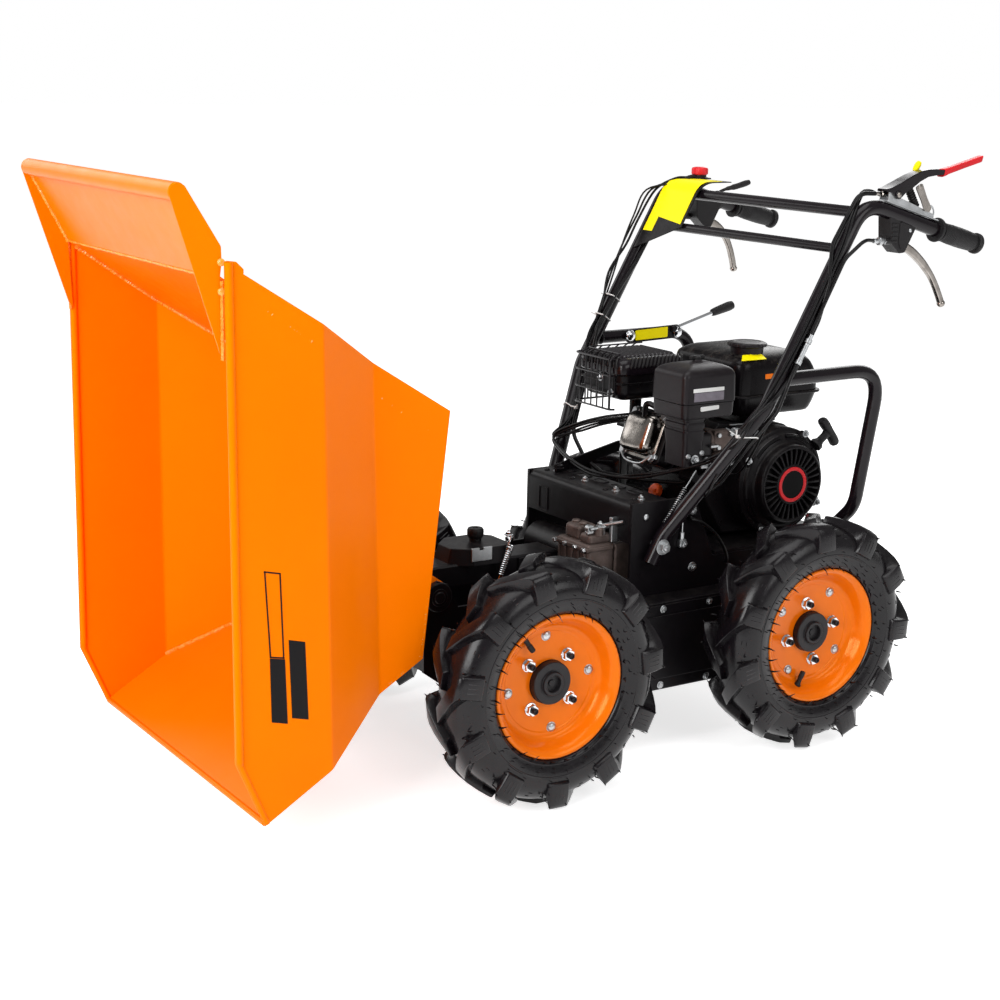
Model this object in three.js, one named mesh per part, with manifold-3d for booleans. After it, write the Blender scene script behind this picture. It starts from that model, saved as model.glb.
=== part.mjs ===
// Motorized dumper: a walk-behind, four-wheel-drive power barrow with a tipping tub.
// Millimetres, +Z up, +X towards the tub, +Y to the operator's left.
// Everything is measured from a datum on the ground, midway between the front wheels.
// The finished machine is then shifted along X so that its origin is the middle of its footprint.
import * as THREE from 'three';
import { mergeVertices } from 'three/addons/utils/BufferGeometryUtils.js';
import Module from 'manifold-3d';

const wasm = await Module();
wasm.setup();

// ---------------------------------------------------------------- driving dimensions
const SEAT = 0.3;                 // gap between two pieces that rest on each other

// wheels
const wheelbase = 544;
const halfTrack = 304;            // centre plane of a wheel from the middle of the machine
const tyreRadius = 202;
const tyreHalfWidth = 52;
const rimFlangeRadius = 117.5;
const beadSeatRadius = rimFlangeRadius - 16.5;
const rimHalfWidth = 35;
const discThickness = 4;
const hubBoreRadius = 35;
const wheelSides = 24;
const stubShaftRadius = 20;

// frame
const frameHalfWidth = 159;       // outer face of the two main side plates
const plateThickness = 6;
const noseX = 140;                // front end of the frame
const tailX = -740;               // rear end of the frame
const armTopZ = 296;              // top of the arms ahead of the cover
const frameBottomZ = 150;
const coverFrontX = -265;         // front face of the cover under the handlebar
const coverRearX = -345;
const coverTopZ = 426;
const coverPanelDepth = 70;
const deckTopZ = 321;             // the engine stands on this
const chainCaseHalfWidth = 210;   // outer face of the two chain cases
const chainCaseTopZ = 262;
const chainCaseBottomZ = 105;
const crossWallTopZ = 290;         // cross wall just behind the hinge
const bearingRadius = 38;
const bearingLength = 26;
const bufferTopZ = 373.5;
const bufferX = -59;

// tub, drawn level as it is carried, from its hinge
const hinge = { x: 115, z: 318, pinRadius: 10 };
const tipAngle = 83;              // degrees from carried to tipped; the machine stands tipped
const sheet = 3;
const tub = {
  floorZ: 61, floorRearX: -308.5, floorFrontX: 78,
  rearTopX: -505, rearTopZ: 489,
  mouthFrontX: 199, mouthFrontZ: 401,
  lipX: 296, lipZ: 344,
  wallTopInset: 20, wallFootInset: 45,      // rear wall, in front of the sides' rear edge
  rear: { low: 226, high: 298, foldLowZ: 204, foldHighZ: 331 },   // half-widths and folds
  front: { low: 232, high: 310, foldLowZ: 131, foldHighZ: 243 },
};
const spill = { beadX: -590, beadZ: 562, beadRadius: 13, tipX: -377, heelX: -525 };
const wallClearance = 0.8;        // end walls to the sloping sides
const rimRadius = 6;              // rolled hem along the sides of the mouth
const bracketGap = 5.3;           // tub bracket to frame plate
const bracketReach = 60;

// engine
const crank = { x: -618, z: 424 };
const recoilFrontY = 165;
const shroudRadius = 98;
const shroudRearY = 95;
const cylinderTilt = 21;          // degrees above level, leaning forward

// handlebar
const barRadius = 13;
const barUpperY = 265;
const guardRadius = 12;
const barLow = [-455, 592];        // bend where the bar turns upright, [x, z]
const barCorner = [-649, 929];     // top corner, [x, z]
const gripStart = [-822, 272, 877];
const gripEnd = [-919, 272, 851];
const crossbarRadius = 10;
const lowerCrossbarRadius = 8;
const lowerCrossbarZ = 852;
const gripRadius = barRadius + 3;
const guardTopZ = 644;
const guardFootX = -696;
const guardFootZ = 332;
const brakeLeverRadius = 5;
const brakeLever = { left: [-782, -857, 744], right: [-779, -824, 749] };   // bend x, tip x, tip z
const cableRadius = 4.5;

// ---------------------------------------------------------------- materials
const paint = (name, color, roughness, metalness) =>
  new THREE.MeshStandardMaterial({ name, color, roughness, metalness });
const orangePaint = paint('orange_paint', 0xf57a05, 0.35, 0.0);
const blackPaint = paint('black_paint', 0x17171a, 0.4, 0.1);
const blackPlastic = paint('black_plastic', 0x202124, 0.6, 0.0);
const rubber = paint('rubber', 0x1b1b1c, 0.85, 0.0);
const chrome = paint('chrome', 0xd0d2d4, 0.15, 1.0);
const zinc = paint('zinc', 0xb5b8ba, 0.4, 0.9);
const castAlloy = paint('cast_alloy', 0x8f8a86, 0.55, 0.7);
const redPlastic = paint('red_plastic', 0xc8202a, 0.45, 0.0);

// ---------------------------------------------------------------- solids
const rad = THREE.MathUtils.degToRad;

// keeps positions only, shares vertices and turns every face outwards
function closed(geometry) {
  const bare = new THREE.BufferGeometry();
  bare.setAttribute('position', geometry.getAttribute('position'));
  if (geometry.index) bare.setIndex(geometry.index);
  const merged = mergeVertices(bare, 1e-3);
  const p = merged.getAttribute('position');
  const kept = [];
  for (let i = 0; i < merged.index.count; i += 3) {
    const [a, b, c] = [0, 1, 2].map((k) => merged.index.getX(i + k));
    if (a !== b && b !== c && c !== a) kept.push(a, b, c);
  }
  let volume = 0;
  const [u, v, w] = [new THREE.Vector3(), new THREE.Vector3(), new THREE.Vector3()];
  for (let i = 0; i < kept.length; i += 3) {
    u.fromBufferAttribute(p, kept[i]);
    v.fromBufferAttribute(p, kept[i + 1]);
    w.fromBufferAttribute(p, kept[i + 2]);
    volume += u.dot(v.cross(w));
  }
  if (volume < 0) kept.reverse();
  merged.setIndex(kept);
  return merged;
}

function toSolid(geometry) {
  const g = closed(geometry);
  return new wasm.Manifold(new wasm.Mesh({
    numProp: 3,
    vertProperties: new Float32Array(g.getAttribute('position').array),
    triVerts: new Uint32Array(g.index.array),
  }));
}

function toGeometry(solid) {
  const mesh = solid.getMesh();
  const g = new THREE.BufferGeometry();
  g.setAttribute('position', new THREE.BufferAttribute(new Float32Array(mesh.vertProperties), 3));
  g.setIndex(new THREE.BufferAttribute(new Uint32Array(mesh.triVerts), 1));
  return g;
}

const joined = (...parts) => toGeometry(parts.map(toSolid).reduce((a, b) => a.add(b)));
const cut = (part, ...tools) => toGeometry(tools.map(toSolid).reduce((a, b) => a.subtract(b), toSolid(part)));

// a block between two corners
function block([x0, x1], [y0, y1], [z0, z1]) {
  return new THREE.BoxGeometry(x1 - x0, y1 - y0, z1 - z0)
    .translate((x0 + x1) / 2, (y0 + y1) / 2, (z0 + z1) / 2);
}

// a flat outline of [x, z] points, thick from y0 to y1
function plate(outline, y0, y1) {
  const shape = new THREE.Shape(outline.map(([x, z]) => new THREE.Vector2(x, z)));
  return new THREE.ExtrudeGeometry(shape, { depth: y1 - y0, bevelEnabled: false })
    .rotateX(Math.PI / 2).translate(0, y1, 0);
}

// a round bar between two points
function bar(from, to, radius, sides = 12) {
  const a = new THREE.Vector3(...from);
  const b = new THREE.Vector3(...to);
  const axis = b.clone().sub(a);
  return new THREE.CylinderGeometry(radius, radius, axis.length(), sides)
    .applyQuaternion(new THREE.Quaternion().setFromUnitVectors(
      new THREE.Vector3(0, 1, 0), axis.clone().normalize()))
    .translate(...a.add(b).multiplyScalar(0.5).toArray());
}

// a disc or boss whose axis is parallel to Y
const boss = (x, z, y0, y1, radius, sides = 16) => bar([x, y0, z], [x, y1, z], radius, sides);

// a path of straight runs with a round bend at each inner point
class BentPath extends THREE.Curve {
  constructor(points, bend, bendSteps) {
    super();
    const v = points.map((p) => new THREE.Vector3(...p));
    this.rings = [v[0]];
    for (let i = 1; i < v.length - 1; i++) {
      const back = v[i - 1].clone().sub(v[i]);
      const ahead = v[i + 1].clone().sub(v[i]);
      const turn = Math.PI - back.angleTo(ahead);
      const reach = Math.min(bend * Math.tan(turn / 2), 0.48 * back.length(), 0.48 * ahead.length());
      const start = v[i].clone().addScaledVector(back.normalize(), reach);
      const end = v[i].clone().addScaledVector(ahead.normalize(), reach);
      const arc = new THREE.QuadraticBezierCurve3(start, v[i], end);
      for (let k = 0; k <= bendSteps; k++) this.rings.push(arc.getPoint(k / bendSteps));
    }
    this.rings.push(v[v.length - 1]);
  }
  get steps() { return this.rings.length - 1; }
  getPoint(t, target = new THREE.Vector3()) {
    const at = Math.min(t * this.steps, this.steps - 1e-9);
    const i = Math.floor(at);
    return target.lerpVectors(this.rings[i], this.rings[i + 1], at - i);
  }
  getUtoTmapping(u) { return u; }
  getTangent(t, target = new THREE.Vector3()) {
    const i = Math.round(t * this.steps);
    target.set(0, 0, 0);
    if (i > 0) target.add(this.rings[i].clone().sub(this.rings[i - 1]).normalize());
    if (i < this.steps) target.add(this.rings[i + 1].clone().sub(this.rings[i]).normalize());
    return target.normalize();
  }
}

function tube(points, radius, { bend = 60, sides = 10, bendSteps = 4 } = {}) {
  const path = new BentPath(points, bend, bendSteps);
  const section = new THREE.Shape(
    new THREE.EllipseCurve(0, 0, radius, radius).getPoints(sides).slice(0, sides));
  return new THREE.ExtrudeGeometry(section, { extrudePath: path, steps: path.steps });
}

// a turned ring about Y; true radii lie on the flats of its facets
function turned(profile, sides = wheelSides) {
  const grow = 1 / Math.cos(Math.PI / sides);
  const points = profile.map(([r, y]) => new THREE.Vector2(r * grow, y));
  if (profile[0][0] > 0) points.push(points[0].clone());
  return new THREE.LatheGeometry(points, sides, Math.PI / sides);
}

const mirrorY = (points) => points.map(([x, y, z]) => [x, -y, z]);
const bothSides = [['left', 1], ['right', -1]];

// ---------------------------------------------------------------- assembly
const machine = new THREE.Group();

function add(parent, name, geometry, material) {
  const mesh = new THREE.Mesh(closed(geometry), material);
  mesh.name = name;
  parent.add(mesh);
  return mesh;
}

// ---------------------------------------------------------------- wheels
const tyreOutline = [            // radius, distance from the centre plane
  [beadSeatRadius + SEAT, rimHalfWidth - 7],
  [rimFlangeRadius + 0.6, rimHalfWidth - 3.6],
  [rimFlangeRadius + 1.5, rimHalfWidth + 2],
  [rimFlangeRadius + 22, tyreHalfWidth - 4],
  [(rimFlangeRadius + tyreRadius) / 2 + 4, tyreHalfWidth],
  [tyreRadius - 12, tyreHalfWidth - 3],
  [tyreRadius, tyreHalfWidth - 20],
];
const mirrored = (outline) => [...outline, ...outline.slice().reverse().map(([r, y]) => [r, -y])];
const rimOutline = [
  [rimFlangeRadius, rimHalfWidth], [rimFlangeRadius, rimHalfWidth - 3],
  [beadSeatRadius, rimHalfWidth - 6], [beadSeatRadius, 6 - rimHalfWidth],
  [rimFlangeRadius, 3 - rimHalfWidth], [rimFlangeRadius, -rimHalfWidth],
  [beadSeatRadius - 3, 4 - rimHalfWidth], [beadSeatRadius - 3, 0],
  [hubBoreRadius, 0], [hubBoreRadius, discThickness],
  [beadSeatRadius - 3, discThickness], [beadSeatRadius - 3, rimHalfWidth - 4],
];
const hubInnerY = chainCaseHalfWidth + bearingLength + SEAT - halfTrack;
const hubOutline = [
  [0, hubInnerY], [stubShaftRadius, hubInnerY], [stubShaftRadius, -12], [66, -12], [66, -SEAT],
  [hubBoreRadius - 0.8, -SEAT], [hubBoreRadius - 0.8, 15], [19, 15], [19, 19], [0, 19],
];
const wheelPlaces = [
  ['front_left', 0, 1], ['front_right', 0, -1],
  ['rear_left', -wheelbase, 1], ['rear_right', -wheelbase, -1],
];
for (const [place, x, side] of wheelPlaces) {
  const wheel = new THREE.Group();
  wheel.position.set(x, side * halfTrack, tyreRadius);
  wheel.rotation.z = side > 0 ? 0 : Math.PI;
  machine.add(wheel);
  add(wheel, `tyre_${place}`, turned(mirrored(tyreOutline)), rubber);
  add(wheel, `rim_${place}`, turned(rimOutline), orangePaint);
  add(wheel, `hub_${place}`, turned(hubOutline, 16), blackPaint);
}

// ---------------------------------------------------------------- frame
const innerHalfWidth = frameHalfWidth - plateThickness;
const deckUnderZ = deckTopZ - plateThickness;
const earRadius = 26;
const earArc = [0, 45, 90, 135, 180].map((a) =>
  [hinge.x + earRadius * Math.cos(rad(a)), hinge.z + earRadius * Math.sin(rad(a))]);
const sideOutline = [
  [noseX, frameBottomZ + 45], [noseX + 1, hinge.z], ...earArc.slice(1),
  [hinge.x - earRadius - 12, armTopZ],
  [coverFrontX, armTopZ], [coverFrontX, coverTopZ], [coverRearX - 55, coverTopZ],
  [coverRearX - 100, deckUnderZ - SEAT], [tailX, deckUnderZ - SEAT],
  [tailX, frameBottomZ + 75], [tailX + 50, frameBottomZ], [noseX - 60, frameBottomZ],
];
for (const [side, s] of bothSides) {
  const [y0, y1] = s > 0 ? [innerHalfWidth, frameHalfWidth] : [-frameHalfWidth, -innerHalfWidth];
  const pinHole = boss(hinge.x, hinge.z, y0 - 5, y1 + 5, hinge.pinRadius + SEAT + 0.3);
  add(machine, `frame_plate_${side}`, cut(plate(sideOutline, y0, y1), pinHole), blackPaint);

  // chain case beside each frame plate, with a bearing for each wheel
  const caseOutline = [
    [-wheelbase - 62, chainCaseBottomZ + 30], [-wheelbase - 30, chainCaseBottomZ],
    [30, chainCaseBottomZ], [62, chainCaseBottomZ + 30],
    [62, chainCaseTopZ - 25], [38, chainCaseTopZ],
    [-wheelbase - 38, chainCaseTopZ], [-wheelbase - 62, chainCaseTopZ - 25],
  ];
  const inner = frameHalfWidth + SEAT;
  const [c0, c1] = s > 0 ? [inner, chainCaseHalfWidth] : [-chainCaseHalfWidth, -inner];
  const bearing = (x) => boss(x, tyreRadius, s * (chainCaseHalfWidth - 4),
    s * (chainCaseHalfWidth + bearingLength), bearingRadius);
  add(machine, `chain_case_${side}`,
    joined(plate(caseOutline, c0, c1), bearing(0), bearing(-wheelbase)), blackPaint);
}
const insideY = innerHalfWidth - SEAT;
add(machine, 'belly_pan', joined(
  block([tailX + 60, noseX - 70], [-insideY, insideY], [frameBottomZ, frameBottomZ + 4]),
  block([noseX - 74, noseX - 70], [-insideY, insideY], [frameBottomZ, crossWallTopZ]),
  block([noseX - 74, noseX - 56], [-insideY, insideY], [crossWallTopZ - 4, crossWallTopZ])), blackPaint);
const ear = [guardFootX - 16, guardFootX + 16];   // the guards are bolted to these
add(machine, 'engine_deck', joined(
  block([tailX, coverRearX - 105], [-frameHalfWidth, frameHalfWidth], [deckUnderZ, deckTopZ]),
  block([tailX, tailX + 6], [-insideY, insideY], [deckUnderZ - 90, deckUnderZ]),
  block(ear, [-frameHalfWidth, -innerHalfWidth], [deckUnderZ, guardFootZ + 14]),
  block(ear, [innerHalfWidth, frameHalfWidth], [deckUnderZ, guardFootZ + 14])), blackPaint);

// folded cover between the frame plates, under the foot of the handlebar
add(machine, 'front_cover', joined(
  block([coverRearX, coverFrontX], [-insideY, insideY], [coverTopZ - 5, coverTopZ]),
  block([coverFrontX - 5, coverFrontX], [-insideY, insideY], [coverTopZ - coverPanelDepth, coverTopZ])),
  blackPaint);

// gearbox in the middle of the frame, its differential below
const gearboxZ0 = frameBottomZ + 4 + SEAT;
const gearboxFrontX = -205;
const gearCase = [innerHalfWidth - 128, innerHalfWidth - 35];
const axleCaseHalfWidth = innerHalfWidth - 23;
add(machine, 'gearbox', joined(
  block([coverFrontX + 3, gearboxFrontX], gearCase, [gearboxZ0, 385]),
  block([coverRearX, gearboxFrontX], gearCase, [gearboxZ0, coverTopZ - coverPanelDepth - 6]),
  block([gearboxFrontX - 120, gearboxFrontX - 20], [-axleCaseHalfWidth, axleCaseHalfWidth], [gearboxZ0, 258]),
  boss(gearboxFrontX - 70, 300, 10 - axleCaseHalfWidth, gearCase[0] + 5, 36)), castAlloy);

// beam along the middle that carries the buffer under the tub
const beamTopZ = 326;
const beamHalfWidth = 32;
add(machine, 'front_beam', joined(
  block([gearboxFrontX + SEAT, noseX - 74 - SEAT], [-beamHalfWidth, beamHalfWidth], [beamTopZ - 40, beamTopZ]),
  block([bufferX - 20, bufferX + 21], [-38, 22], [beamTopZ - 1, bufferTopZ - 22])), blackPaint);
add(machine, 'tub_buffer',
  bar([bufferX, -8, bufferTopZ - 22 + SEAT], [bufferX, -8, bufferTopZ], 14.5, 12), rubber);

// ---------------------------------------------------------------- tub
const tubGroup = new THREE.Group();
tubGroup.position.set(hinge.x, 0, hinge.z);
tubGroup.rotation.y = rad(tipAngle);
machine.add(tubGroup);

const along = (z, [x0, z0], [x1, z1]) => x0 + (x1 - x0) * (z - z0) / (z1 - z0);
const rearX = (z) => along(z, [tub.floorRearX, tub.floorZ], [tub.rearTopX, tub.rearTopZ]);
const frontX = (z) => along(z, [tub.floorFrontX, tub.floorZ], [tub.lipX, tub.lipZ]);
const wallTopX = tub.rearTopX + tub.wallTopInset;
const wallFootX = tub.floorRearX + tub.wallFootInset;
const rearWallX = (z) => along(z, [wallFootX, tub.floorZ], [wallTopX, tub.rearTopZ]);

// sheet between neighbouring points of two edges, thickened inwards by a vector
function shell(edgeA, edgeB, inward) {
  const outer = [...edgeA, ...edgeB.slice().reverse()].map((p) => new THREE.Vector3(...p));
  const n = outer.length;
  const inner = outer.map((p) => p.clone().add(inward));
  const flat = new THREE.Vector3().crossVectors(
    outer[1].clone().sub(outer[0]), outer[n - 1].clone().sub(outer[0])).normalize();
  const u = outer[1].clone().sub(outer[0]).normalize();
  const v = new THREE.Vector3().crossVectors(flat, u);
  const contour = outer.map((p) => new THREE.Vector2(p.clone().sub(outer[0]).dot(u), p.clone().sub(outer[0]).dot(v)));
  const faces = THREE.ShapeUtils.triangulateShape(contour, []);
  const index = [];
  for (const [a, b, c] of faces) index.push(a, b, c, n + c, n + b, n + a);
  for (let i = 0; i < n; i++) {
    const j = (i + 1) % n;
    index.push(i, n + i, n + j, i, n + j, j);
  }
  const g = new THREE.BufferGeometry();
  g.setAttribute('position', new THREE.Float32BufferAttribute([...outer, ...inner].flatMap((p) => p.toArray()), 3));
  g.setIndex(index);
  return g;
}

const { rear, front } = tub;
const corner = {                  // [x, z, half-width]
  floorRear: [rearX(tub.floorZ), tub.floorZ, rear.low],
  floorFront: [frontX(tub.floorZ), tub.floorZ, front.low],
  lowRear: [rearX(rear.foldLowZ), rear.foldLowZ, rear.low],
  lowFront: [frontX(front.foldLowZ), front.foldLowZ, front.low],
  highRear: [rearX(rear.foldHighZ), rear.foldHighZ, rear.high],
  highFront: [frontX(front.foldHighZ), front.foldHighZ, front.high],
  topRear: [tub.rearTopX, tub.rearTopZ, rear.high],
  mouthFront: [tub.mouthFrontX, tub.mouthFrontZ, front.high],
  lip: [tub.lipX, tub.lipZ, front.high],
};
for (const [side, s] of bothSides) {
  const at = ([x, z, y]) => [x, s * y, z];
  const facet = (...names) => {
    const [a, b, ...rest] = names.map((n) => at(corner[n]));
    return shell([a, b], rest, new THREE.Vector3(0, -s * sheet, 0));
  };
  const hemEnd = ([x, z, y], dx) => [x + dx, s * (y - sheet / 2), z - rimRadius - Math.abs(dx) * 0.13];
  const hem = bar(hemEnd(corner.topRear, 2 * rimRadius), hemEnd(corner.mouthFront, 0), rimRadius, 10);
  add(tubGroup, `tub_side_${side}`, joined(
    facet('floorRear', 'floorFront', 'lowRear', 'lowFront'),
    facet('lowRear', 'lowFront', 'highRear', 'highFront'),
    shell([at(corner.highRear), at(corner.highFront), at(corner.lip)],
      [at(corner.topRear), at(corner.mouthFront)], new THREE.Vector3(0, -s * sheet, 0)),
    hem), orangePaint);
}

// floor and end walls fit between the sides
const floorInset = sheet + wallClearance;
const floorOutline = [
  [corner.floorRear[0], rear.low - floorInset], [corner.floorFront[0], front.low - floorInset],
  [corner.floorFront[0], floorInset - front.low], [corner.floorRear[0], floorInset - rear.low],
];
add(tubGroup, 'tub_floor', plate(floorOutline, 0, sheet).rotateX(-Math.PI / 2)
  .translate(0, 0, tub.floorZ + sheet), orangePaint);
const insideHem = rear.high - sheet / 2 - rimRadius - SEAT;   // half-width between the two hems
function endWall(xAt, end, topZ, thicknessX, notch = 0) {      // notch: cut back at the top, for the hems
  const low = end.low - sheet - wallClearance;
  const high = end.high - sheet - wallClearance;
  const half = [[low, tub.floorZ + sheet + SEAT], [low, end.foldLowZ], [high, end.foldHighZ],
    ...(notch ? [[high, topZ - notch], [insideHem, topZ - notch], [insideHem, topZ]] : [[high, topZ]])];
  const edge = (s) => half.map(([y, z]) => [xAt(z), s * y, z]);
  return shell(edge(1), edge(-1), new THREE.Vector3(thicknessX, 0, 0));
}
const slant = (dx, dz) => sheet * Math.hypot(dx, dz) / dz;   // sheet thickness measured along X
add(tubGroup, 'tub_rear_wall', endWall(rearWallX, rear, tub.rearTopZ,
  slant(wallFootX - wallTopX, tub.rearTopZ - tub.floorZ), 3 * rimRadius + 1), orangePaint);
add(tubGroup, 'tub_front_wall', endWall(frontX, front, tub.lipZ,
  -slant(tub.lipX - tub.floorFrontX, tub.lipZ - tub.floorZ)), orangePaint);

// spill lip above the rear wall: sloping plate, rolled bead and a gusset at each end
const mouthZ = (x) => along(x, [tub.rearTopZ, tub.rearTopX], [tub.mouthFrontZ, tub.mouthFrontX]);
const rootZ = tub.rearTopZ + SEAT;
const spillThicknessX = slant(spill.beadZ - rootZ, wallTopX - spill.beadX);
const gusset = [
  [wallTopX + spillThicknessX, rootZ], [spill.tipX, mouthZ(spill.tipX) - 1],
  [spill.tipX - 6, mouthZ(spill.tipX) + 6],
  [spill.beadX - 2, spill.beadZ + 13], [spill.beadX - 13, spill.beadZ + 4], [spill.beadX - 9, spill.beadZ - 9],
  [spill.heelX, rootZ + 3], [tub.rearTopX, rootZ],
];
add(tubGroup, 'tub_spill_lip', joined(
  plate([[wallTopX, rootZ], [wallTopX + spillThicknessX, rootZ],
    [spill.beadX + spillThicknessX, spill.beadZ], [spill.beadX, spill.beadZ]],
  -insideHem, insideHem),
  boss(spill.beadX, spill.beadZ, -insideHem, insideHem, spill.beadRadius, 12),
  plate(gusset, insideHem - sheet, insideHem),
  plate(gusset, -insideHem, sheet - insideHem)), orangePaint);

// hinge bracket under the floor: two cheeks on a sleeve around the hinge pin
const cheekOuterY = innerHalfWidth - bracketGap;
const cheek = [
  [-bracketReach, tub.floorZ - SEAT], [-22, -12], [-12, -24], [12, -24], [22, -12],
  [bracketReach, tub.floorZ - SEAT],
];
const sleeveBore = boss(0, 0, -cheekOuterY - 1, cheekOuterY + 1, hinge.pinRadius + SEAT + 0.3);
add(tubGroup, 'tub_hinge_bracket', cut(joined(
  plate(cheek, cheekOuterY - plateThickness, cheekOuterY),
  plate(cheek, -cheekOuterY, plateThickness - cheekOuterY),
  boss(0, 0, -cheekOuterY, cheekOuterY, 17)), sleeveBore), orangePaint);
add(machine, 'hinge_pin',
  boss(hinge.x, hinge.z, -frameHalfWidth - 8, frameHalfWidth + 8, hinge.pinRadius), zinc);

// ---------------------------------------------------------------- engine
const tilt = rad(cylinderTilt);
const onCylinder = ([a, h]) => [
  crank.x + a * Math.cos(tilt) - h * Math.sin(tilt), crank.z + a * Math.sin(tilt) + h * Math.cos(tilt)];
const cylinderHalfWidth = 58;
const headEnd = 222;
const crankcase = [
  [crank.x - 100, deckTopZ + SEAT], [crank.x + 110, deckTopZ + SEAT], [crank.x + 112, crank.z + 20],
  [crank.x + 40, crank.z + 90], [crank.x - 70, crank.z + 90], [crank.x - 104, crank.z + 30],
];
add(machine, 'engine_block', joined(
  plate(crankcase, -105, shroudRearY - SEAT),
  plate([[30, -48], [headEnd, -48], [headEnd, 50], [30, 50]].map(onCylinder),
    -cylinderHalfWidth, cylinderHalfWidth),
  boss(crank.x, crank.z, -165, -100, 12.5)), blackPaint);
add(machine, 'valve_cover', plate([[headEnd + SEAT, -42], [headEnd + 30, -36], [headEnd + 30, 38],
  [headEnd + SEAT, 44]].map(onCylinder), -46, 46), chrome);
add(machine, 'recoil_starter', joined(
  boss(crank.x, crank.z, shroudRearY, recoilFrontY - 22, shroudRadius, 24),
  boss(crank.x, crank.z, recoilFrontY - 23, recoilFrontY, 72, 24)), blackPlastic);
const gripAngle = rad(143);
const onShroud = (r, h) => [crank.x + r * Math.cos(gripAngle) + h * Math.cos(gripAngle + Math.PI / 2),
  recoilFrontY - 32, crank.z + r * Math.sin(gripAngle) + h * Math.sin(gripAngle + Math.PI / 2)];
add(machine, 'recoil_grip', joined(
  bar(onShroud(shroudRadius - 0.4, 0), onShroud(shroudRadius + 30, 0), 7),
  bar(onShroud(shroudRadius + 30, -26), onShroud(shroudRadius + 30, 26), 9)), blackPlastic);

const tank = { x: [-748, -545], y: [-118, 100], z: [536, 642] };
const tankSeat = crank.z + 90 + SEAT;
add(machine, 'fuel_tank', joined(
  plate([[tank.x[0] + 22, tank.z[0]], [tank.x[1] - 6, tank.z[0]], [tank.x[1], tank.z[0] + 34],
    [tank.x[1] - 6, tank.z[1] - 14], [tank.x[1] - 24, tank.z[1]], [tank.x[0] + 36, tank.z[1] - 6],
    [tank.x[0] + 6, tank.z[1] - 30], [tank.x[0], tank.z[0] + 34]], ...tank.y),
  block([crank.x - 60, crank.x + 30], [-60, 40], [tankSeat, tank.z[0] + 5])), blackPlastic);
add(machine, 'fuel_cap', boss(0, 0, 0, 24, 35).rotateX(Math.PI / 2)
  .translate(-590, 58, tank.z[1] + SEAT), blackPlastic);

const airbox = { x: [-484, -373], y: [62, 150], z: [572, 650] };
add(machine, 'air_cleaner', joined(
  plate([[airbox.x[0], airbox.z[0]], [airbox.x[1] - 4, airbox.z[0]], [airbox.x[1], airbox.z[0] + 8],
    [airbox.x[1] - 4, airbox.z[1] - 16], [airbox.x[1] - 18, airbox.z[1]], [airbox.x[0] + 12, airbox.z[1]],
    [airbox.x[0], airbox.z[1] - 12]], ...airbox.y),
  block([-442, -388], [92, 142], [474, airbox.z[0] + 1]),
  block([-470, -425], [cylinderHalfWidth + SEAT, 120], [478, 524])), blackPlastic);
const muffler = { x: [-500, -345], y: [-137, 4], z: [563, 650] };
add(machine, 'muffler', joined(
  block(muffler.x, muffler.y, muffler.z),
  block([-480, -440], [-110, -cylinderHalfWidth - SEAT], [500, muffler.z[0] + 1])), blackPaint);

// ---------------------------------------------------------------- handlebar
const rise = Math.hypot(barCorner[0] - barLow[0], barCorner[1] - barLow[1]);
const up = [(barCorner[0] - barLow[0]) / rise, (barCorner[1] - barLow[1]) / rise];
const onBar = (z) => along(z, barLow, barCorner);
const onTop = (x) => along(x, [barCorner[1], barCorner[0]], [gripStart[2], gripStart[0]]);
const topSlope = (barCorner[1] - gripStart[2]) / (barCorner[0] - gripStart[0]);
const topHalfDepth = barRadius * Math.hypot(1, topSlope) + 0.1;   // of the sloping top run, vertically
const footY = frameHalfWidth + SEAT + barRadius;
const barPath = [
  [-297, footY, 322], [-322, footY, 368], [barLow[0], barUpperY, barLow[1]],
  [barCorner[0], barUpperY, barCorner[1]], gripStart, gripEnd,
];
const barBends = { bend: 58, sides: 12 };
const acrossBar = (x, z, radius) => bar([x, -barUpperY, z], [x, barUpperY, z], radius, 10);
add(machine, 'handlebar', joined(
  tube(barPath, barRadius, barBends), tube(mirrorY(barPath), barRadius, barBends),
  acrossBar(barCorner[0] + 6, barCorner[1] - 17, crossbarRadius),
  acrossBar(onBar(lowerCrossbarZ), lowerCrossbarZ, lowerCrossbarRadius)), blackPaint);

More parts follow.
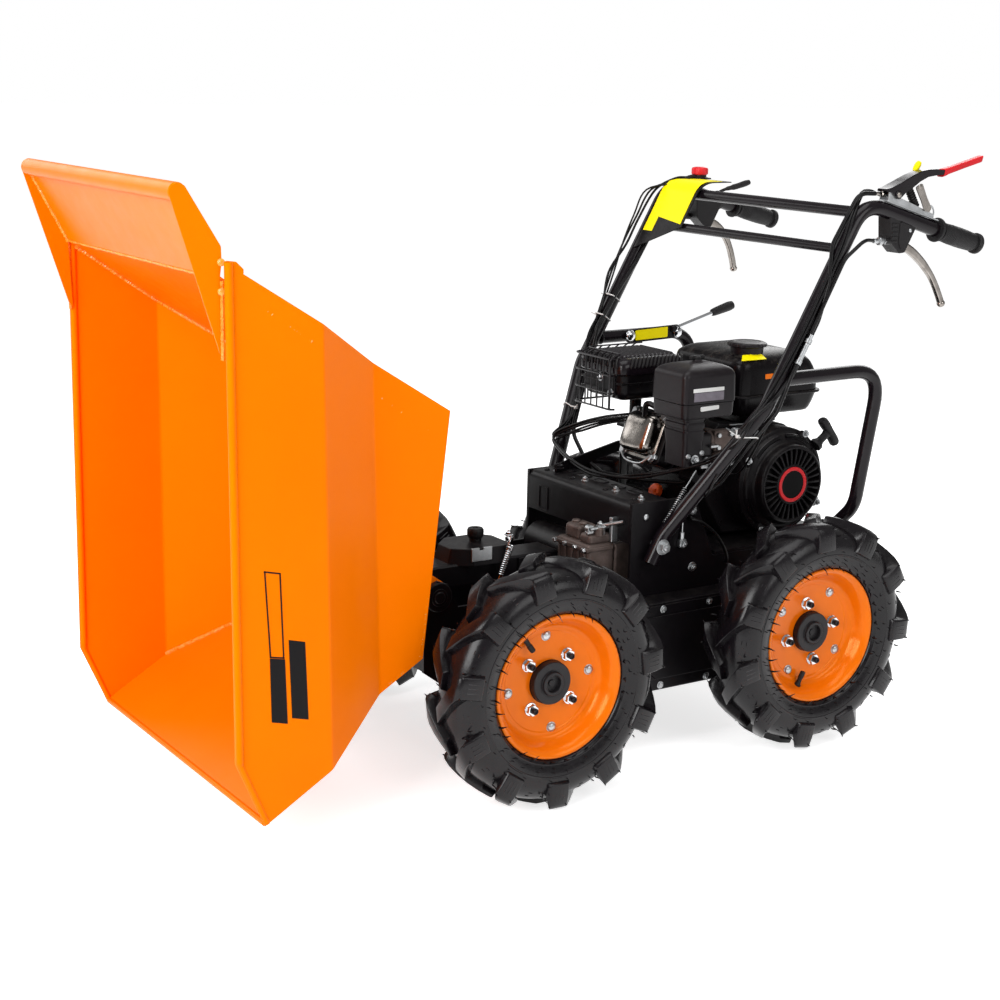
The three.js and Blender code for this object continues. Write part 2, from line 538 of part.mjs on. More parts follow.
const guardReach = (barRadius - guardRadius * up[0]) / up[1] - 0.5;   // bar's axis to the guard's end
const between = (p, q, t) => p.map((v, i) => v + (q[i] - v) * t);
const housing = { x0: -768, x1: -712, bottomZ: 840, halfWidth: 20 };
for (const [side, s] of bothSides) {
  const place = (points) => (s > 0 ? points : mirrorY(points));
  const [from, to] = place([gripStart, gripEnd]);
  const core = bar(between(from, to, -0.1), between(from, to, 1.01),
    (barRadius + 2 * SEAT) / Math.cos(Math.PI / 14), 14);
  add(machine, `grip_${side}`, cut(bar(from, between(from, to, 1.04), gripRadius, 14), core), rubber);

  // housing under the bar with the brake lever behind it
  const middle = s * 264;
  add(machine, `switch_housing_${side}`, plate([
    [housing.x0, housing.bottomZ], [housing.x1, housing.bottomZ + 8],
    [housing.x1, onTop(housing.x1) - topHalfDepth - SEAT],
    [housing.x0, onTop(housing.x0) - topHalfDepth - SEAT],
  ], middle - housing.halfWidth, middle + housing.halfWidth), blackPlastic);
  const [bendX, tipX, tipZ] = brakeLever[side];
  const rootZ = housing.bottomZ + 8;
  add(machine, `brake_lever_${side}`, tube([[housing.x0 - SEAT, middle, rootZ], [bendX, middle, rootZ],
    [tipX, middle, tipZ]], brakeLeverRadius, { bend: 16, sides: 8, bendSteps: 3 }), chrome);

  // guard loop from the handlebar back, down and in to the frame
  add(machine, `guard_${side}`, tube(place([
    [onBar(guardTopZ) - guardReach, barUpperY, guardTopZ], [-718, 262, guardTopZ - 4], [-697, 240, 392],
    [guardFootX, frameHalfWidth + 20, guardFootZ], [guardFootX, frameHalfWidth + SEAT, guardFootZ]]), guardRadius, { bend: 60 }), blackPaint);
}

// parking lever on top of the left bar, pointing back over the grip
const bracket = { x0: -726, x1: -690, y0: 256, y1: 274, z: 942 };
add(machine, 'park_lever', joined(
  plate([[bracket.x0, onTop(bracket.x0) + topHalfDepth + SEAT],
    [bracket.x1, onTop(bracket.x1) + topHalfDepth + SEAT],
    [bracket.x1, bracket.z], [bracket.x0, bracket.z + 8]], bracket.y0, bracket.y1),
  tube([[-704, 265, 938], [-766, 265, 962], [-828, 265, 972], [-922, 265, 998]], 7.5,
    { bend: 30, sides: 8, bendSteps: 2 })), redPlastic);
add(machine, 'throttle_lever', joined(
  plate([[-722, onTop(-722) + topHalfDepth + 2], [-700, onTop(-700) + topHalfDepth + 2],
    [-778, 986], [-788, 986]], bracket.y0 - SEAT - 6, bracket.y0 - SEAT),
  boss(-785, 987, bracket.y0 - 10, bracket.y0 - SEAT, 7, 10)), zinc);

// folded plate in the right corner of the handlebar, with the stop switch on it
const plateGap = barRadius - 1;     // it lies inboard of the bar's crown
const facePoint = (z, y) => [onBar(z) + plateGap * up[1], y, z - plateGap * up[0]];
const controlPlate = { outerY: 6 - barUpperY, innerY: -150, foldZ: 934, depth: 84, thickness: 2 };
const foldX = onBar(controlPlate.foldZ) + plateGap / up[1];
const faceNormal = new THREE.Vector3(up[1], 0, -up[0]).multiplyScalar(controlPlate.thickness);
add(machine, 'control_plate', joined(
  shell([facePoint(811, controlPlate.outerY), facePoint(848, controlPlate.innerY)],
    [[foldX, controlPlate.outerY, controlPlate.foldZ], [foldX, controlPlate.innerY, controlPlate.foldZ]],
    faceNormal),
  block([foldX - controlPlate.depth, foldX + 1.5], [controlPlate.outerY, controlPlate.innerY],
    [controlPlate.foldZ - 1, controlPlate.foldZ + 1.5])), blackPaint);
const switchAt = [-706, -240];
const button = (z0, z1, radius) => bar([...switchAt, z0], [...switchAt, z1], radius);
add(machine, 'stop_switch', joined(
  button(controlPlate.foldZ + 1.5 + SEAT, controlPlate.foldZ + 8, 17),
  button(controlPlate.foldZ + 7, controlPlate.foldZ + 17, 12)), redPlastic);

// gear selector clamped beside the right guard
const selectorY = guardRadius + 2 - 264;
add(machine, 'gear_selector', joined(
  block([-672, -552], [selectorY, selectorY + 5], [628, 654]),
  bar([-664, selectorY + 3, 648], [-764, selectorY + 3, 676], 4, 8),
  bar([-760, selectorY + 3, 675], [-802, selectorY + 3, 685], 9, 10)), blackPlastic);

// ---------------------------------------------------------------- cables
// a point beside the bar at a height: forward of its axis, inboard of it, on the side s
const besideUpper = (z, forward, inboard, s) =>
  [onBar(z) + forward * up[1], s * (barUpperY - inboard), z - forward * up[0]];
const lowerBar = (z, dx, dy, s) => {
  const t = (barLow[1] - z) / (barLow[1] - barPath[1][2]);
  const [x, y] = between([barLow[0], barUpperY], barPath[1], t);
  return [x + dx, s * (y + dy), z];
};
const lie = barRadius + cableRadius + 2;       // cable's axis from the bar's
const slope = 0.85 * lie;
const cableTopZ = onTop(bracket.x1) + topHalfDepth + cableRadius + 3;
const cableStyle = { bend: 30, sides: 8, bendSteps: 3 };
add(machine, 'cross_cable', tube([
  [bracket.x1 + 0.6, 262, cableTopZ], [-630, 262, cableTopZ], besideUpper(850, lie, 3, 1), besideUpper(720, lie, 3, 1),
  besideUpper(655, slope, slope, 1), besideUpper(600, 0, lie + 1, 1), lowerBar(535, -4, -lie, 1),
  [-455, 160, 485], [-462, 100, 452], [-450, 66, 424], [-424, -30, 414], [-396, 41 - innerHalfWidth, 415],
  [-386, 7 - frameHalfWidth, coverTopZ + 11],
  lowerBar(475, -5, 1 - lie, -1), lowerBar(545, -3, -lie - 1, -1), besideUpper(600, 0, lie + 1, -1),
  besideUpper(655, slope, slope, -1), besideUpper(720, lie, 3, -1), besideUpper(798, lie, 3, -1),
], cableRadius, cableStyle), rubber);
add(machine, 'shift_cable', tube([
  [housing.x1 + 2 * SEAT, 278, 866], [-650, 284, 866], besideUpper(838, 0, 1 - lie, 1), besideUpper(650, -3, -lie, 1),
  lowerBar(588, 5 - lie, lie - 1, 1), lowerBar(520, -lie - 1, 11, 1), [-420, 200, 455],
  [-382, frameHalfWidth + cableRadius, 412], [-371, frameHalfWidth + cableRadius, 388],
], cableRadius - 1, cableStyle), rubber);

// ---------------------------------------------------------------- origin at the middle of the footprint
machine.updateMatrixWorld(true);
const bounds = new THREE.Box3().setFromObject(machine, true);
machine.position.x = -(bounds.min.x + bounds.max.x) / 2;

export default machine;
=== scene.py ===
import random
from math import copysign, cos, pi, radians, sin, sqrt, tan

import bmesh
import bpy
from mathutils import Matrix, Vector


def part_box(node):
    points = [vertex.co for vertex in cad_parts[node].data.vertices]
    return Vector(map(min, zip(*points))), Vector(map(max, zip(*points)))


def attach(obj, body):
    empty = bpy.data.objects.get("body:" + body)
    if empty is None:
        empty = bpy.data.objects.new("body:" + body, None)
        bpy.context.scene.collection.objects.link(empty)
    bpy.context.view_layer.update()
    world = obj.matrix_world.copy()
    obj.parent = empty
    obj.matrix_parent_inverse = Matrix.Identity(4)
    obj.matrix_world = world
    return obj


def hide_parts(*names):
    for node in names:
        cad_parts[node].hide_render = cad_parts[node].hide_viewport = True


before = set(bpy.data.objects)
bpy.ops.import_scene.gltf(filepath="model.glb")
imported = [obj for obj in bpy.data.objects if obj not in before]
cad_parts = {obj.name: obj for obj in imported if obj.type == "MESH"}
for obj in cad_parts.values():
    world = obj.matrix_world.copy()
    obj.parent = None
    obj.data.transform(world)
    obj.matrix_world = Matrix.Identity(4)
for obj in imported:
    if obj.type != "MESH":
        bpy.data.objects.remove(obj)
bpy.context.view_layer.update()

scene = bpy.context.scene
MM = 0.001
SIDES = (1, -1)                   # the left and the right
SIDE_NAME = {1: "left", -1: "right"}
AHEAD, LEFT, RIGHT, UP = (1, 0, 0), (0, 1, 0), (0, -1, 0), (0, 0, 1)


def at(x, y, z):
    return Vector((x, y, z))


# Every piece is drawn in millimetres from the datum on the ground midway between the front wheels:
# X towards the tub, Y to the operator's left, Z up.
_low, _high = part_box("tyre_front_left")
DATUM = at((_low[0] + _high[0]) / 2, 0, 0)


def node_box(name):
    """A CAD node's lowest and highest corners, in millimetres from the datum."""
    low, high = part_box(name)
    return (Vector(low) - DATUM) / MM, (Vector(high) - DATUM) / MM


def across(s, a, b):
    """Two distances from the middle plane on one side, the lower first."""
    return sorted((s * a, s * b))


def turns(count, phase=0.0):
    return [phase + 2 * pi * k / count for k in range(count)]


# ---------------------------------------------------------------- shapes
# A shape is (points, faces). Shapes are joined into pieces by piece().

def skin(rings, loop=False):
    """Walls between neighbouring rings of points. The ends are closed off, or joined in a loop."""
    count = len(rings[0])
    points = [Vector(p) for ring in rings for p in ring]
    faces = []
    spans = len(rings) if loop else len(rings) - 1
    for i in range(spans):
        a, b = i * count, (i + 1) % len(rings) * count
        for j in range(count):
            k = (j + 1) % count
            faces.append((a + j, a + k, b + k, b + j))
    if not loop:
        faces.append(tuple(range(count)))
        faces.append(tuple(range((len(rings) - 1) * count, len(rings) * count)))
    return points, faces


def basis(axis):
    """Two directions square to an axis."""
    axis = Vector(axis).normalized()
    helper = at(0, 0, 1) if abs(axis.z) < 0.9 else at(1, 0, 0)
    u = helper.cross(axis).normalized()
    return u, axis.cross(u)


def circle(centre, axis, radius, sides, phase=0.0):
    u, v = basis(axis)
    centre = Vector(centre)
    return [centre + radius * (cos(t) * u + sin(t) * v) for t in turns(sides, phase)]


def turned(profile, centre, axis=LEFT, sides=48, loop=False, phase=0.0):
    """A turned part: profile is a list of (radius, distance along the axis)."""
    centre, axis = Vector(centre), Vector(axis).normalized()
    rings = [circle(centre + axis * h, axis, max(r, 0.05), sides, phase) for r, h in profile]
    return skin(rings, loop=loop)


def curve(start, corner, end, steps):
    """Points along a soft bend that leaves start towards a corner."""
    for k in range(steps + 1):
        t = k / steps
        yield (1 - t) ** 2 * start + 2 * t * (1 - t) * corner + t ** 2 * end


def rounded_path(points, bend, steps=6):
    """A path whose corners are bent to a radius."""
    points = [Vector(p) for p in points]
    path = [points[0]]
    for before, here, after in zip(points, points[1:], points[2:]):
        back, ahead = before - here, after - here
        turn = pi - back.angle(ahead)
        if turn < 0.02:
            path.append(here)
            continue
        reach = min(bend * tan(turn / 2), 0.48 * back.length, 0.48 * ahead.length)
        path += curve(here + back.normalized() * reach, here, here + ahead.normalized() * reach, steps)
    path.append(points[-1])
    return path


def smooth_path(points, steps=6):
    """A soft curve through every point, for cables."""
    p = [Vector(q) for q in points]
    p = [2 * p[0] - p[1]] + p + [2 * p[-1] - p[-2]]
    path = []
    for a, b, c, d in zip(p, p[1:], p[2:], p[3:]):
        for k in range(steps):
            t = k / steps
            path.append(0.5 * (2 * b + (c - a) * t + (2 * a - 5 * b + 4 * c - d) * t * t
                               + (3 * b - a - 3 * c + d) * t ** 3))
    path.append(p[-2])
    return path


def frames(path, up=None):
    """A direction and two square directions at each point of a path, without twist."""
    result = []
    for i, p in enumerate(path):
        ahead = (path[min(i + 1, len(path) - 1)] - p)
        back = (p - path[max(i - 1, 0)])
        way = (ahead.normalized() + back.normalized()).normalized()
        if not result:
            u = basis(way)[0] if up is None else Vector(up)
        else:
            u = result[-1][1]
        u = (u - way * u.dot(way)).normalized()
        result.append((way, u, way.cross(u)))
    return result


def swept(path, section, up=None):
    """A section of (across, up) points carried along a path."""
    rings = [[p + u * a + v * b for a, b in section] for p, (_, u, v) in zip(path, frames(path, up))]
    return skin(rings)


def tube(path, radius, sides=16):
    """A round bar along a path. The radius may be a list, one for each point."""
    path = [Vector(p) for p in path]
    radii = radius if isinstance(radius, (list, tuple)) else [radius] * len(path)
    rings = []
    for p, r, (_, u, v) in zip(path, radii, frames(path)):
        rings.append([p + r * (cos(t) * u + sin(t) * v) for t in turns(sides)])
    return skin(rings)


def wire(points, radius, sides=10, steps=6):
    """A round bar on a soft curve through every point."""
    return tube(smooth_path(points, steps), radius, sides)


def bent(points, radius, bend=40, sides=16, steps=6):
    """A round bar with its corners bent to a radius."""
    return tube(rounded_path(points, bend, steps), radius, sides)


def rod(a, b, radius, sides=16, chamfer=0.0):
    """A straight round bar with softened ends."""
    a, b = Vector(a), Vector(b)
    length = (b - a).length
    c = min(chamfer, radius * 0.9, length * 0.45)
    profile = [(radius, 0), (radius, length)]
    if c > 0:
        profile = [(radius - c, 0), (radius, c), (radius, length - c), (radius - c, length)]
    return turned(profile, a, b - a, sides)


def block(x, y, z):
    """A block between two corners."""
    ring = [(x[0], y[0]), (x[1], y[0]), (x[1], y[1]), (x[0], y[1])]
    return skin([[(a, b, h) for a, b in ring] for h in z])


AXES = {"x": lambda u, v, w: (w, u, v), "y": lambda u, v, w: (u, w, v), "z": lambda u, v, w: (u, v, w)}


def plate(outline, low, high, axis="y"):
    """A flat outline with a thickness. For axis y the outline holds (x, z) points."""
    place = AXES[axis]
    return skin([[place(u, v, w) for u, v in outline] for w in (low, high)])


def rounded(outline, radius, steps=4):
    """An outline with its corners rounded. The radius may be a list, one for each corner."""
    n = len(outline)
    radii = radius if isinstance(radius, (list, tuple)) else [radius] * n
    result = []
    for i in range(n):
        here = Vector(outline[i])
        back, ahead = Vector(outline[i - 1]) - here, Vector(outline[(i + 1) % n]) - here
        turn = pi - back.angle(ahead)
        reach = min(radii[i] * tan(turn / 2), 0.49 * back.length, 0.49 * ahead.length)
        if reach < 0.05:
            result.append(tuple(here))
            continue
        start, end = here + back.normalized() * reach, here + ahead.normalized() * reach
        result += [tuple(p) for p in curve(start, here, end, steps)]
    return result


def oblong(x, y, radius=2.0, steps=3):
    return rounded([(x[0], y[0]), (x[1], y[0]), (x[1], y[1]), (x[0], y[1])], radius, steps)


def moved(shape, matrix):
    return [matrix @ p for p in shape[0]], shape[1]


def softened(shape, width, segments=2, angle=30):
    """A shape whose edges sharper than an angle are rounded over a width."""
    mesh = bmesh.new()
    made = [mesh.verts.new(p) for p in shape[0]]
    for face in shape[1]:
        mesh.faces.new([made[i] for i in face])
    bmesh.ops.recalc_face_normals(mesh, faces=mesh.faces)
    limit = radians(angle)
    edges = [e for e in mesh.edges if len(e.link_faces) == 2 and e.calc_face_angle(0) > limit]
    bmesh.ops.bevel(mesh, geom=edges, offset=width, segments=segments, profile=0.5,
                    affect="EDGES", clamp_overlap=True)
    mesh.verts.index_update()
    result = ([v.co.copy() for v in mesh.verts], [tuple(v.index for v in f.verts) for f in mesh.faces])
    mesh.free()
    return result


def soft_block(x, y, z, width=2.0, segments=3):
    return softened(block(x, y, z), width, segments)


def soft_plate(outline, low, high, axis="y", width=1.0, segments=2, angle=40):
    return softened(plate(outline, low, high, axis), width, segments, angle)


def hexagon(centre, axis, across, height, phase=0.0):
    """A hex nut or bolt head with its corners chamfered."""
    r = across / sqrt(3)
    return turned([(r, 0), (r, height - 0.8), (r - 1.0, height)], centre, axis, 6, phase=phase)


def washer(centre, axis, radius, height=1.2, sides=24):
    return turned([(radius, 0), (radius, height * 0.7), (radius - 0.5, height)], centre, axis, sides)


def bolt(centre, axis, across=10, height=6, phase=0.0):
    """A washer, a hex head and the end of the thread."""
    way = Vector(axis).normalized()
    c = Vector(centre)
    return [washer(c, axis, across * 0.85),
            hexagon(c + way * 1.2, axis, across, height, phase),
            turned([(across * 0.27, 0), (across * 0.27, 2), (across * 0.2, 2.8)],
                   c + way * (height + 0.8), axis, 12)]


def domed(centre, axis, radius, height, sides=24):
    """A round-headed screw or button."""
    arc = [(radius * cos(t), height * (0.25 + 0.75 * sin(t)))
           for t in [pi / 2 * k / 6 for k in range(6)]]
    return turned([(radius, 0)] + arc + [(radius * 0.12, height)], centre, axis, sides)


def coil(start, end, radius, wire, winds):
    """A drawn spring between two points."""
    start, end = Vector(start), Vector(end)
    way = end - start
    u, v = basis(way)
    steps = int(winds * 14)
    path = []
    for i in range(steps + 1):
        t = i / steps
        a = 2 * pi * winds * t
        path.append(start + way * t + radius * (cos(a) * u + sin(a) * v))
    return tube(path, wire, 8)


WELD_PITCH = 4.0


def weld(points, radius, seed):
    """A hand-laid weld bead: a lumpy rope along a line."""
    draw = random.Random(seed)
    path, radii = [], []
    points = [Vector(p) for p in points]
    for a, b in zip(points, points[1:]):
        steps = max(2, int((b - a).length / WELD_PITCH * 2))
        for i in range(steps):
            path.append(a.lerp(b, i / steps))
    path.append(points[-1])
    for i, p in enumerate(path):
        swell = 1.0 if i % 2 else 0.8
        radii.append(radius * swell * draw.uniform(0.85, 1.15))
        p += Vector([draw.uniform(-0.12, 0.12) * radius for _ in range(3)])
    return tube(path, radii, 8)


# ---------------------------------------------------------------- pieces
def piece(name, shapes, finish, body="chassis", stands_for=(), slot=None, sharp=38, weighted=True):
    """Joins shapes into one named piece, gives it a finish and lets it ride on a body."""
    mesh = bmesh.new()
    finishes = finish if isinstance(finish, list) else [finish]
    for entry in shapes:
        (points, faces), number = entry if isinstance(entry[1], int) else (entry, 0)
        made = [mesh.verts.new(p * MM + DATUM) for p in map(Vector, points)]
        part = []
        for face in faces:
            part.append(mesh.faces.new([made[i] for i in face]))
            part[-1].material_index = number
            part[-1].smooth = True
        bmesh.ops.recalc_face_normals(mesh, faces=part)
    data = bpy.data.meshes.new(name)
    mesh.to_mesh(data)
    mesh.free()
    data.set_sharp_from_angle(angle=radians(sharp))
    for item in finishes:
        data.materials.append(item)
    made = bpy.data.objects.new(name, data)
    scene.collection.objects.link(made)
    if weighted:
        crisp = made.modifiers.new("crisp faces", "WEIGHTED_NORMAL")
        crisp.keep_sharp = True
    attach(made, body)
    if stands_for:
        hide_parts(*stands_for)
    return made


def dress(name, finish, width=1.0):
    """A CAD node that stays: softened edges and its finish."""
    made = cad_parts[name]
    made.data.materials.clear()
    made.data.materials.append(finish)
    edge = made.modifiers.new("softened edges", "BEVEL")
    edge.width = width * MM
    edge.segments = 2
    edge.limit_method = "ANGLE"
    edge.angle_limit = radians(35)
    crisp = made.modifiers.new("crisp faces", "WEIGHTED_NORMAL")
    crisp.keep_sharp = True
    return made


# the camera: its place from the datum, its right, up and backward directions and its focal length
CAMERA_PLACE = (1571.7, 2560.5, 1144.3)
CAMERA_AXES = ((-0.839434, 0.543075, 0.020476), (-0.108647, -0.204615, 0.972794),
               (0.53249, 0.814372, 0.230764))
CAMERA_LENS = 66.29


# ---------------------------------------------------------------- finishes
def linear(code):
    """A written colour as linear light."""
    parts = [int(code[i:i + 2], 16) / 255 for i in (1, 3, 5)]
    return tuple(c / 12.92 if c <= 0.04045 else ((c + 0.055) / 1.055) ** 2.4 for c in parts) + (1.0,)


def plug(tree, made, sockets):
    """Fills a node's sockets. Each takes a value, or another node's socket."""
    for key, value in sockets.items():
        named = [s for s in made.inputs if s.name.replace(" ", "_").lower() == key]
        target = named[0] if named else made.inputs[int(key[1:])]
        if isinstance(value, bpy.types.NodeSocket):
            tree.links.new(value, target)
        else:
            target.default_value = value
    return made


def node(tree, kind, settings=None, **sockets):
    made = tree.nodes.new("ShaderNode" + kind)
    for key, value in (settings or {}).items():
        setattr(made, key, value)
    return plug(tree, made, sockets)


def effect(name, output, kind, **inputs):
    """An empty node group with named inputs, each with its usual value, and one output."""
    tree = bpy.data.node_groups.new(name, "ShaderNodeTree")
    for label, default in inputs.items():
        tree.interface.new_socket(label, in_out="INPUT",
                                  socket_type="NodeSocketFloat").default_value = default
    tree.interface.new_socket(output, in_out="OUTPUT", socket_type="NodeSocket" + kind)
    return tree, tree.nodes.new("NodeGroupInput").outputs, tree.nodes.new("NodeGroupOutput").inputs[0]


def use(tree, group, **sockets):
    return node(tree, "Group", {"node_tree": group}, **sockets).outputs[0]


def sums(tree, operation, a, b, clamp=False):
    return node(tree, "Math", {"operation": operation, "use_clamp": clamp}, _0=a, _1=b).outputs[0]


def ranged(tree, value, low, high):
    return node(tree, "MapRange", value=value, from_min=low, from_max=high).outputs[0]


def noise(tree, place, scale, detail, roughness):
    return node(tree, "TexNoise", vector=place, scale=scale, detail=detail,
                roughness=roughness).outputs["Fac"]


def mix_colour(tree, factor, a, b):
    return node(tree, "Mix", {"data_type": "RGBA"}, _0=factor, _6=a, _7=b).outputs[2]


def build_mottle():
    """Slow, uneven patches: how thickly paint lies, how evenly plastic cooled."""
    tree, given, out = effect("mottle", "Value", "Float", Scale=20.0, Contrast=1.0)
    place = node(tree, "TexCoord").outputs["Object"]
    centred = sums(tree, "SUBTRACT", noise(tree, place, given["Scale"], 5.0, 0.6), 0.5)
    wide = sums(tree, "MULTIPLY", centred, given["Contrast"])
    tree.links.new(sums(tree, "ADD", wide, 0.5, True), out)
    return tree


def build_grain():
    """The fine relief of a finish: spray texture, moulded grain or sand casting."""
    tree, given, out = effect("grain", "Normal", "Vector", Scale=400.0, Depth=0.1, Coarse=0.0)
    place = node(tree, "TexCoord").outputs["Object"]
    fine = noise(tree, place, given["Scale"], 3.0, 0.55)
    cells = node(tree, "TexVoronoi", {"feature": "F1"}, vector=place,
                 scale=given["Scale"]).outputs["Distance"]
    both = node(tree, "Mix", {"data_type": "FLOAT"}, _0=given["Coarse"], _2=fine, _3=cells).outputs[0]
    relief = node(tree, "Bump", height=both, strength=given["Depth"], distance=0.001)
    tree.links.new(relief.outputs[0], out)
    return tree


def build_edge_sheen_and_wear():
    """A mask that is white on corners and edges. On the black paints and plastics the lighter colour laid
    through it is a painted highlight along rounded edges; on the other finishes it gives the edges a lighter
    or darker tone.
    """
    tree, given, out = effect("edge_wear", "Mask", "Float", Width=0.0015, Amount=0.5, Scale=90.0)
    place = node(tree, "TexCoord").outputs["Object"]
    soft_normal = node(tree, "Bevel", {"samples": 3}, radius=given["Width"]).outputs[0]
    true_normal = node(tree, "NewGeometry").outputs["Normal"]
    turn = node(tree, "VectorMath", {"operation": "DOT_PRODUCT"}, _0=soft_normal,
                _1=true_normal).outputs["Value"]
    edge = ranged(tree, turn, 0.97, 0.8)
    patchy = ranged(tree, noise(tree, place, given["Scale"], 6.0, 0.7), 0.42, 0.62)
    tree.links.new(sums(tree, "MULTIPLY", sums(tree, "MULTIPLY", edge, patchy), given["Amount"], True), out)
    return tree


def build_dust_and_top_sheen():
    """A mask, in patches, for faces that look up: thin dust, and a painted sheen that pales the tops as the
    light from above would.
    """
    tree, given, out = effect("dust_and_top_sheen", "Mask", "Float", Amount=0.2, Scale=60.0)
    place = node(tree, "TexCoord").outputs["Object"]
    normal = node(tree, "NewGeometry").outputs["Normal"]
    level = ranged(tree, node(tree, "SeparateXYZ", vector=normal).outputs["Z"], 0.2, 1.0)
    thin = ranged(tree, noise(tree, place, given["Scale"], 8.0, 0.75), 0.45, 0.75)
    tree.links.new(sums(tree, "MULTIPLY", sums(tree, "MULTIPLY", level, thin), given["Amount"], True), out)
    return tree


MOTTLE, GRAIN, EDGE_SHEEN_AND_WEAR, DUST_AND_TOP_SHEEN = build_mottle(), build_grain(), build_edge_sheen_and_wear(), build_dust_and_top_sheen()
DUST_AND_TOP_SHEEN_COLOUR = "#9b948a"


def finish(name, slot, light, dark, rough=(0.3, 0.45), metal=0.0, coat=0.0, specular=0.5,
           patches=(14.0, 1.6), relief=(700.0, 0.12, 0.0), sheen_and_wear=None, dust_and_top_sheen=0.0, tint=None):
    """A finish from two tones, a roughness range, a relief, edges of another colour (a painted highlight on
    the black finishes) and pale upward faces (dust and a painted top sheen).
    """
    material = bpy.data.materials.new(name)
    material.use_nodes = True
    tree = material.node_tree
    mottle = use(tree, MOTTLE, scale=patches[0], contrast=patches[1])
    colour = mix_colour(tree, mottle, linear(light), linear(dark))
    fine = use(tree, MOTTLE, scale=patches[0] * 5.3, contrast=2.0)
    gloss = node(tree, "MapRange", value=fine, to_min=rough[0], to_max=rough[1]).outputs[0]
    # edges in another colour: on the black paints and plastics it is lighter, a painted highlight along
    # rounded edges
    if sheen_and_wear:
        sheen_and_wear_mask = use(tree, EDGE_SHEEN_AND_WEAR, width=sheen_and_wear[2], amount=sheen_and_wear[1])
        colour = mix_colour(tree, sheen_and_wear_mask, colour, linear(sheen_and_wear[0]))
    if dust_and_top_sheen:
        # upward faces paled in patches: thin dust, and a painted sheen of the light from above, strongest on
        # the fuel tank
        dust_and_top_sheen_mask = use(tree, DUST_AND_TOP_SHEEN, amount=dust_and_top_sheen)
        colour = mix_colour(tree, dust_and_top_sheen_mask, colour, linear(DUST_AND_TOP_SHEEN_COLOUR))
        gloss = node(tree, "Math", {"operation": "MULTIPLY_ADD", "use_clamp": True},
                     _0=dust_and_top_sheen_mask, _1=0.5, _2=gloss).outputs[0]
    grain = use(tree, GRAIN, scale=relief[0], depth=relief[1], coarse=relief[2])
    shader = plug(tree, tree.nodes["Principled BSDF"], dict(
        base_color=colour, roughness=gloss, normal=grain, metallic=metal, coat_weight=coat,
        coat_roughness=0.08, specular_ior_level=specular))
    if tint:
        shader.inputs["Specular Tint"].default_value = linear(tint)
    return material


orange_paint = finish("tub orange paint", "orange_paint", "#ff7d00", "#fa7500", rough=(0.3, 0.4),
                      specular=0.24, tint="#ff9a20", relief=(260.0, 0.10, 0.0), patches=(6.0, 1.3),
                      sheen_and_wear=("#c95f06", 0.3, 0.0012))
rim_orange = finish("rim orange paint", "orange_paint", "#ee7206", "#e26803", rough=(0.12, 0.22),
                    specular=0.5, tint="#ffc880", relief=(300.0, 0.08, 0.0), patches=(12.0, 1.3),
                    sheen_and_wear=("#cf6a08", 0.3, 0.001))
# the beads carry the tub's orange paint; the paler tone in small patches is a painted glint on the lumpy
# beads
weld_orange_with_glint = finish("weld orange paint with painted glint", "orange_paint", "#ffa640", "#f07800", rough=(0.2, 0.34), coat=0.3,
                     specular=0.4, relief=(500.0, 0.5, 0.4), patches=(120.0, 2.5))
# the lighter edge colours of the black paints and plastics below are painted highlights along rounded edges
frame_black = finish("frame black paint", "black_paint", "#110e11", "#0a080a", rough=(0.26, 0.38),
                     specular=0.15, relief=(320.0, 0.14, 0.0), sheen_and_wear=("#47464a", 0.3, 0.0012), dust_and_top_sheen=0.06)
bar_black = finish("handlebar black paint", "black_paint", "#150f14", "#0c080b", rough=(0.16, 0.26),
                   specular=0.24, relief=(340.0, 0.07, 0.0), sheen_and_wear=("#3c3c40", 0.2, 0.0008))
engine_black = finish("engine black paint", "black_paint", "#0f0c0e", "#080608", rough=(0.24, 0.38),
                      specular=0.12, relief=(600.0, 0.2, 0.0), sheen_and_wear=("#565458", 0.35, 0.001), dust_and_top_sheen=0.06)
moulded_black = finish("moulded black plastic", "black_plastic", "#161014", "#0f0b0e", rough=(0.28, 0.4),
                       specular=0.22, relief=(1300.0, 0.2, 0.5), dust_and_top_sheen=0.04, sheen_and_wear=("#333236", 0.3, 0.001))
# the pale patches on its upward faces are a painted top sheen as well as dust
tank_black = finish("fuel tank black", "black_plastic", "#0e0a0c", "#080608", rough=(0.16, 0.28),
                    specular=0.12, relief=(500.0, 0.1, 0.0), dust_and_top_sheen=0.16)
lid_black = finish("switch housing plastic", "black_plastic", "#151214", "#0e0c0d", rough=(0.36, 0.5),
                   specular=0.25, relief=(1500.0, 0.3, 0.5), dust_and_top_sheen=0.04)
tyre_rubber = finish("tyre rubber", "tyre", "#120e12", "#0a080a", rough=(0.16, 0.3), specular=0.28,
                     relief=(420.0, 0.12, 0.2), patches=(26.0, 2.0), dust_and_top_sheen=0.03)
grip_rubber = finish("grip rubber", "rubber", "#121012", "#0b090b", rough=(0.42, 0.56), specular=0.28,
                     relief=(1600.0, 0.4, 0.6))
